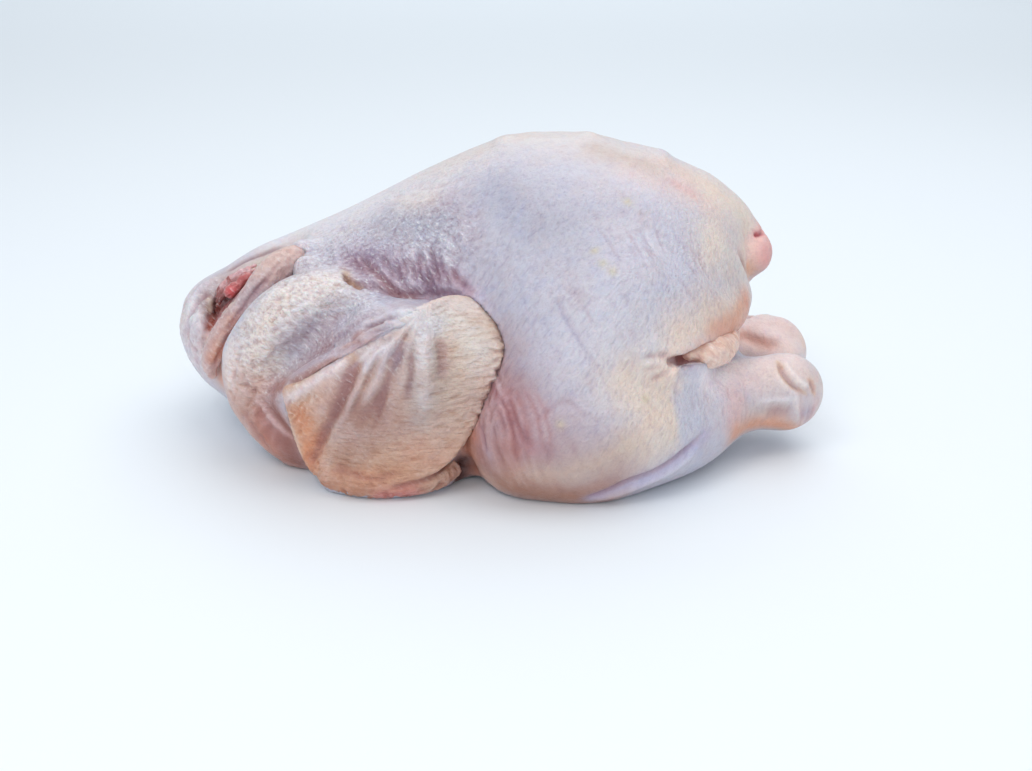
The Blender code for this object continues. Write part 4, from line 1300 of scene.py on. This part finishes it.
def paint_roll(skin):
    paint = Paint(skin, (210, 182, 180), (NEAR,))
    wash = paint.wash
    wash([(-86, -26, 78), (-91.5, -31, 73.5)], 6, (216, 186, 176), 0.85)
    wash([(-91.5, -28, 74.5), (-98.5, -33, 67.5)], 4, (222, 194, 184), 0.6)
    wash([(-98.5, -36, 65.5), (-105, -39, 58)], 5, (192, 176, 182), 0.85)
    wash([(-105, -33, 59), (-111, -33, 54), (-116, -31, 45.5)], 3, (228, 208, 186))
    wash([(-107, -40, 54), (-113.5, -38, 43.5)], 4, (214, 160, 140))
    wash([(-115.5, -34, 41.5), (-118.5, -31, 34.5)], 5, ORANGE)
    wash([(-112, -40, 43), (-116, -41, 39)], 3.2, (218, 148, 118))
    wash([(-119, -40, 34), (-118, -38, 31)], 3, (226, 194, 186), 0.7)
    wash([(-110.5, -40.5, 46.5), (-107, -40, 51)], 2.6, (212, 182, 174), 0.6)
    wash([(-85, -21, 80), (-82.5, -23, 77), (-82, -26, 73)], 2.6, (140, 92, 68), 0.8, all_round=True)
    paint.shade_relief(0.2, 0.3)
    paint.store((0.5, 0.0, 0.5))


def paint_fat(skin):
    paint = Paint(skin, (236, 200, 180))
    # Painted warm shadow along the fat's top, under the flank's edge.
    paint.wash([(67.5, -60, 53.5), (77.5, -52, 54.5), (83.5, -44, 56)], 4.0, (206, 108, 80), 0.85)
    # Painted shade in the hollow at the fat's front end.
    paint.wash([(63.5, -64, 51), (69.5, -62, 49.5)], 4, (170, 84, 70))
    paint.wash([(89, -38, 57), (92, -32, 61.5), (94, -26, 65.5)], 6, (224, 150, 122), 0.85)
    # Painted shade in the gap at the fat's back end.
    paint.wash([(91.5, -40, 45), (92.5, -34, 43.5)], 3, (170, 92, 80), 0.7)
    paint.shade_relief(0.25, 0.3)
    paint.store((0.0, 0.0, 0.7))


def paint_flesh(skin):
    paint = Paint(skin, (198, 128, 128), (NEAR,))
    # The bed painted dark as the shadow deep in the holes.
    paint.wash([place[:3] for place in SHADOWED_FLESH_BED], 6.5, (112, 44, 36), 0.92, all_round=True)
    paint.wash(
        [(-103, -18, 70), (-110, -18, 67), (-116, -18, 62), (-118, -18, 58)], 3.4, (222, 184, 188), 0.9
    )
    paint.wash([(-110, -28, 62.5)], 2.6, (222, 78, 80), 0.95)
    paint.wash([(-104.5, -26, 67.5), (-107, -25, 65.5)], 2.2, (198, 92, 90), 0.85)
    # Painted shadow where a hole opens beside the lumps.
    paint.wash([(-114.5, -24, 57.5), (-117, -24, 56)], 2.4, (104, 36, 28), 0.9)
    paint.shade_relief(0.2, 0.3)
    paint.store((0.0, 0.0, 0.6))


# ---------------------------------------------------------------- materials


def add_node(tree, kind, inputs=None, **settings):
    """A shader node with its settings, and values for its sockets."""
    node = tree.nodes.new(kind)
    for name, value in (inputs or {}).items():
        node.inputs[name].default_value = value
    for name, value in settings.items():
        setattr(node, name, value)
    return node


def stretched(tree, source, tilt, scale):
    """The object's coordinates turned about Y by tilt degrees, then scaled, so that noise makes streaks."""
    turn = add_node(tree, "ShaderNodeMapping", {"Rotation": (0, math.radians(tilt), 0)})
    tree.links.new(source, turn.inputs["Vector"])
    size = add_node(tree, "ShaderNodeMapping", {"Scale": scale})
    tree.links.new(turn.outputs["Vector"], size.inputs["Vector"])
    return size.outputs["Vector"]


def noise_of(tree, vector, scale, detail, roughness):
    made = add_node(tree, "ShaderNodeTexNoise", {"Scale": scale, "Detail": detail, "Roughness": roughness})
    tree.links.new(vector, made.inputs["Vector"])
    return made.outputs["Fac"]


def maths(tree, operation, one, two):
    made = add_node(tree, "ShaderNodeMath", operation=operation)
    for socket, value in zip(made.inputs, (one, two)):
        if isinstance(value, (int, float)):
            socket.default_value = value
        else:
            tree.links.new(value, socket)
    return made.outputs[0]


def spread(tree, value, low, high, to_low, to_high):
    """A value carried from one range to another, and held inside it."""
    limits = {"From Min": low, "From Max": high, "To Min": to_low, "To Max": to_high}
    made = add_node(tree, "ShaderNodeMapRange", limits)
    tree.links.new(value, made.inputs["Value"])
    return made.outputs["Result"]


def tinted(tree, colour, factor, other, blend):
    """A colour blended with another, by a factor."""
    made = add_node(tree, "ShaderNodeMix", data_type="RGBA", blend_type=blend)
    tree.links.new(factor, made.inputs[0])
    tree.links.new(colour, made.inputs[6])
    made.inputs[7].default_value = (*other, 1)
    return made.outputs[2]


def raw_material(name, mottle, bump, soft, gloss):
    """Raw skin, fat or flesh: painted colour broken up by blotches, streaks and painted glints, relief, and a
    wet coat.
    """
    made = bpy.data.materials.new(name)
    made.use_nodes = True
    tree = made.node_tree
    links = tree.links
    shader = tree.nodes["Principled BSDF"]
    place = add_node(tree, "ShaderNodeTexCoord").outputs["Object"]
    colour = add_node(tree, "ShaderNodeAttribute", attribute_name="skin_tint").outputs["Color"]
    finish = add_node(tree, "ShaderNodeAttribute", attribute_name="skin_finish").outputs["Color"]
    split = add_node(tree, "ShaderNodeSeparateColor")
    links.new(finish, split.inputs["Color"])
    wrinkled, follicled, wet = split.outputs

    warm_patches = noise_of(tree, place, 70.0, 5.0, 0.62)
    cool_patches = noise_of(tree, stretched(tree, place, 35, (1.0, 1.0, 1.7)), 110.0, 4.0, 0.6)
    small = noise_of(tree, place, 300.0, 4.0, 0.65)
    steep = noise_of(tree, stretched(tree, place, -28, (900, 900, 150)), 0.8, 3.0, 0.6)
    level = noise_of(tree, stretched(tree, place, 0, (300, 340, 1100)), 0.6, 3.0, 0.6)
    slant = noise_of(tree, stretched(tree, place, 49, (800, 800, 260)), 1.0, 3.0, 0.6)
    micro = noise_of(tree, place, 1500.0, 3.0, 0.6)
    pores = add_node(tree, "ShaderNodeTexVoronoi", {"Scale": 460.0})
    links.new(place, pores.inputs["Vector"])

    # Each layer: its pattern, where that starts and is full, how full, the skin that has it, tint and blend.
    for pattern, low, high, full, skin_share, tint, blend in (
        (warm_patches, 0.46, 0.66, mottle, None, (1.0, 0.90, 0.84), "MULTIPLY"),
        (cool_patches, 0.50, 0.32, mottle, None, (0.86, 0.90, 1.0), "MULTIPLY"),
        (small, 0.5, 0.72, mottle, None, (0.86, 0.80, 0.82), "MULTIPLY"),
        (steep, 0.5, 0.3, 0.8, wrinkled, (0.82, 0.79, 0.87), "MULTIPLY"),
        (level, 0.5, 0.3, 0.9, follicled, (0.82, 0.70, 0.62), "MULTIPLY"),
        (slant, 0.5, 0.34, 1.0, wet, (0.80, 0.71, 0.73), "MULTIPLY"),
        # Painted glints: pale flecks screened on over wet skin.
        (slant, 0.56, 0.72, 0.6, wet, (0.95, 0.95, 0.98), "SCREEN"),
        (micro, 0.52, 0.3, 0.6, None, (0.86, 0.84, 0.88), "MULTIPLY"),
    ):
        share = spread(tree, pattern, low, high, 0.0, full)
        if skin_share is not None:
            share = maths(tree, "MULTIPLY", share, skin_share)
        colour = tinted(tree, colour, share, tint, blend)
    links.new(colour, shader.inputs["Base Color"])

    height = maths(tree, "MULTIPLY", steep, wrinkled)
    for pattern, amount, skin_share in (
        (level, 1.4, follicled),
        (small, 0.5, None),
        (slant, 1.5, wet),
        (micro, 0.3, None),
        (pores.outputs["Distance"], 0.25, None),
    ):
        if skin_share is not None:
            pattern = maths(tree, "MULTIPLY", pattern, skin_share)
        height = maths(tree, "ADD", height, maths(tree, "MULTIPLY", pattern, amount))
    relief = add_node(tree, "ShaderNodeBump", {"Strength": 1.0, "Distance": bump})
    links.new(height, relief.inputs["Height"])
    links.new(relief.outputs["Normal"], shader.inputs["Normal"])

    links.new(spread(tree, small, 0.35, 0.65, 0.34, 0.54), shader.inputs["Roughness"])
    links.new(spread(tree, wet, 0.0, 1.0, 0.12, gloss), shader.inputs["Coat Weight"])
    shader.inputs["Coat Roughness"].default_value = 0.11
    shader.inputs["Subsurface Weight"].default_value = soft
    shader.inputs["Subsurface Radius"].default_value = (1.0, 0.4, 0.25)
    shader.inputs["Subsurface Scale"].default_value = 0.003
    return made


# ---------------------------------------------------------------- the pieces


def make_piece(name, forms, voxel, folds, paint, material, side=NEAR, smoothing=1, triangles=None):
    """A piece of the bird: an even mesh in the shape of its forms, folded, painted and attached to the root.
    """
    piece = one_mesh(name, forms, voxel, smoothing)
    skin = Skin(piece, side)
    folds(skin)
    skin.renew()
    paint(skin)
    if triangles:
        thin_out(piece, triangles)
    piece.data.materials.append(material)
    piece.data.shade_smooth()
    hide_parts("chicken")
    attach(piece, "root")


raw_skin = raw_material("raw_skin", mottle=0.45, bump=0.0009, soft=0.3, gloss=0.6)
raw_flesh = raw_material("raw_flesh", mottle=0.5, bump=0.0006, soft=0.4, gloss=1.0)
raw_fat = raw_material("raw_fat", mottle=0.4, bump=0.0006, soft=0.4, gloss=0.7)
bird = rounded_copy(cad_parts["chicken"])
make_piece(
    "body_skin", [bird], BODY_VOXEL, body_folds, paint_body, raw_skin, smoothing=2, triangles=BODY_TRIANGLES
)
for side, label in ((NEAR, "near"), (FAR, "far")):
    forms = [fan(side), tucked_tip(side)]
    make_piece(
        f"wing_{label}", forms, FINE_VOXEL, wing_folds, paint_wing, raw_skin, side, triangles=WING_TRIANGLES
    )
make_piece("neck_roll", [neck_roll()], FINE_VOXEL, roll_folds, paint_roll, raw_skin)
make_piece("neck_flesh", neck_flesh(), FLESH_VOXEL, flesh_folds, paint_flesh, raw_flesh, smoothing=2)
make_piece("belly_fat", [fat_lump(side) for side in BOTH], FAT_VOXEL, fat_folds, paint_fat, raw_fat)


# ---------------------------------------------------------------- stage, light and camera


def add_floor():
    material = bpy.data.materials.new("pale_floor")
    material.use_nodes = True
    shader = material.node_tree.nodes["Principled BSDF"]
    shader.inputs["Base Color"].default_value = (0.80, 0.84, 0.88, 1)
    shader.inputs["Roughness"].default_value = 0.6
    bm = bmesh.new()
    bmesh.ops.create_grid(bm, x_segments=1, y_segments=1, size=FLOOR_SIZE / 2)
    mesh = bpy.data.meshes.new("floor")
    bm.to_mesh(mesh)
    bm.free()
    floor = bpy.data.objects.new("floor", mesh)
    bpy.context.scene.collection.objects.link(floor)
    floor.data.materials.append(material)


def add_light(name, place, aim, size, watts, colour):
    """A square soft light at a place, turned towards a point."""
    data = bpy.data.lights.new(name, "AREA")
    data.shape = "SQUARE"
    data.size = size
    data.energy = watts
    data.color = colour
    light = bpy.data.objects.new(name, data)
    light.location = place
    light.rotation_euler = (Vector(aim) - Vector(place)).to_track_quat("-Z", "Y").to_euler()
    bpy.context.scene.collection.objects.link(light)


def add_world():
    world = bpy.data.worlds.new("studio")
    world.use_nodes = True
    back = world.node_tree.nodes["Background"]
    back.inputs["Color"].default_value = (0.88, 0.94, 1.0, 1)
    back.inputs["Strength"].default_value = 0.56
    bpy.context.scene.world = world


def add_camera():
    data = bpy.data.cameras.new("camera")
    data.sensor_width = SENSOR
    data.lens = LENS
    data.clip_start = 0.01
    camera = bpy.data.objects.new("camera", data)
    pitch, roll = math.radians(CAMERA_PITCH), math.radians(CAMERA_ROLL)
    right, up = Vector((1, 0, 0)), Vector((0, math.sin(pitch), math.cos(pitch)))
    forward = Vector((0, math.cos(pitch), -math.sin(pitch)))
    turn = Matrix((right, up, -forward)).transposed() @ Matrix.Rotation(roll, 3, "Z")
    camera.matrix_world = Matrix.Translation(CAMERA_PLACE) @ turn.to_4x4()
    bpy.context.scene.collection.objects.link(camera)
    bpy.context.scene.camera = camera


add_floor()
add_world()
add_light("top_softbox", (0.3, 0.1, 1.2), (0, 0, 0.05), 1.2, 6.4, (1.0, 1.0, 1.0))
add_light("key", (-0.45, -0.55, 1.0), (0, 0, 0.05), 0.45, 2.6, (1.0, 1.0, 1.0))
add_light("front_fill", (-0.1, -1.2, 0.8), (0, 0, 0.05), 1.0, 4.3, (1.0, 0.98, 0.95))
add_light("back_wash", (0, 3.0, 2.0), (0, 3.0, 0), 3.4, 41.0, (0.92, 0.97, 1.0))
add_camera()
bpy.context.scene.view_settings.view_transform = "Standard"
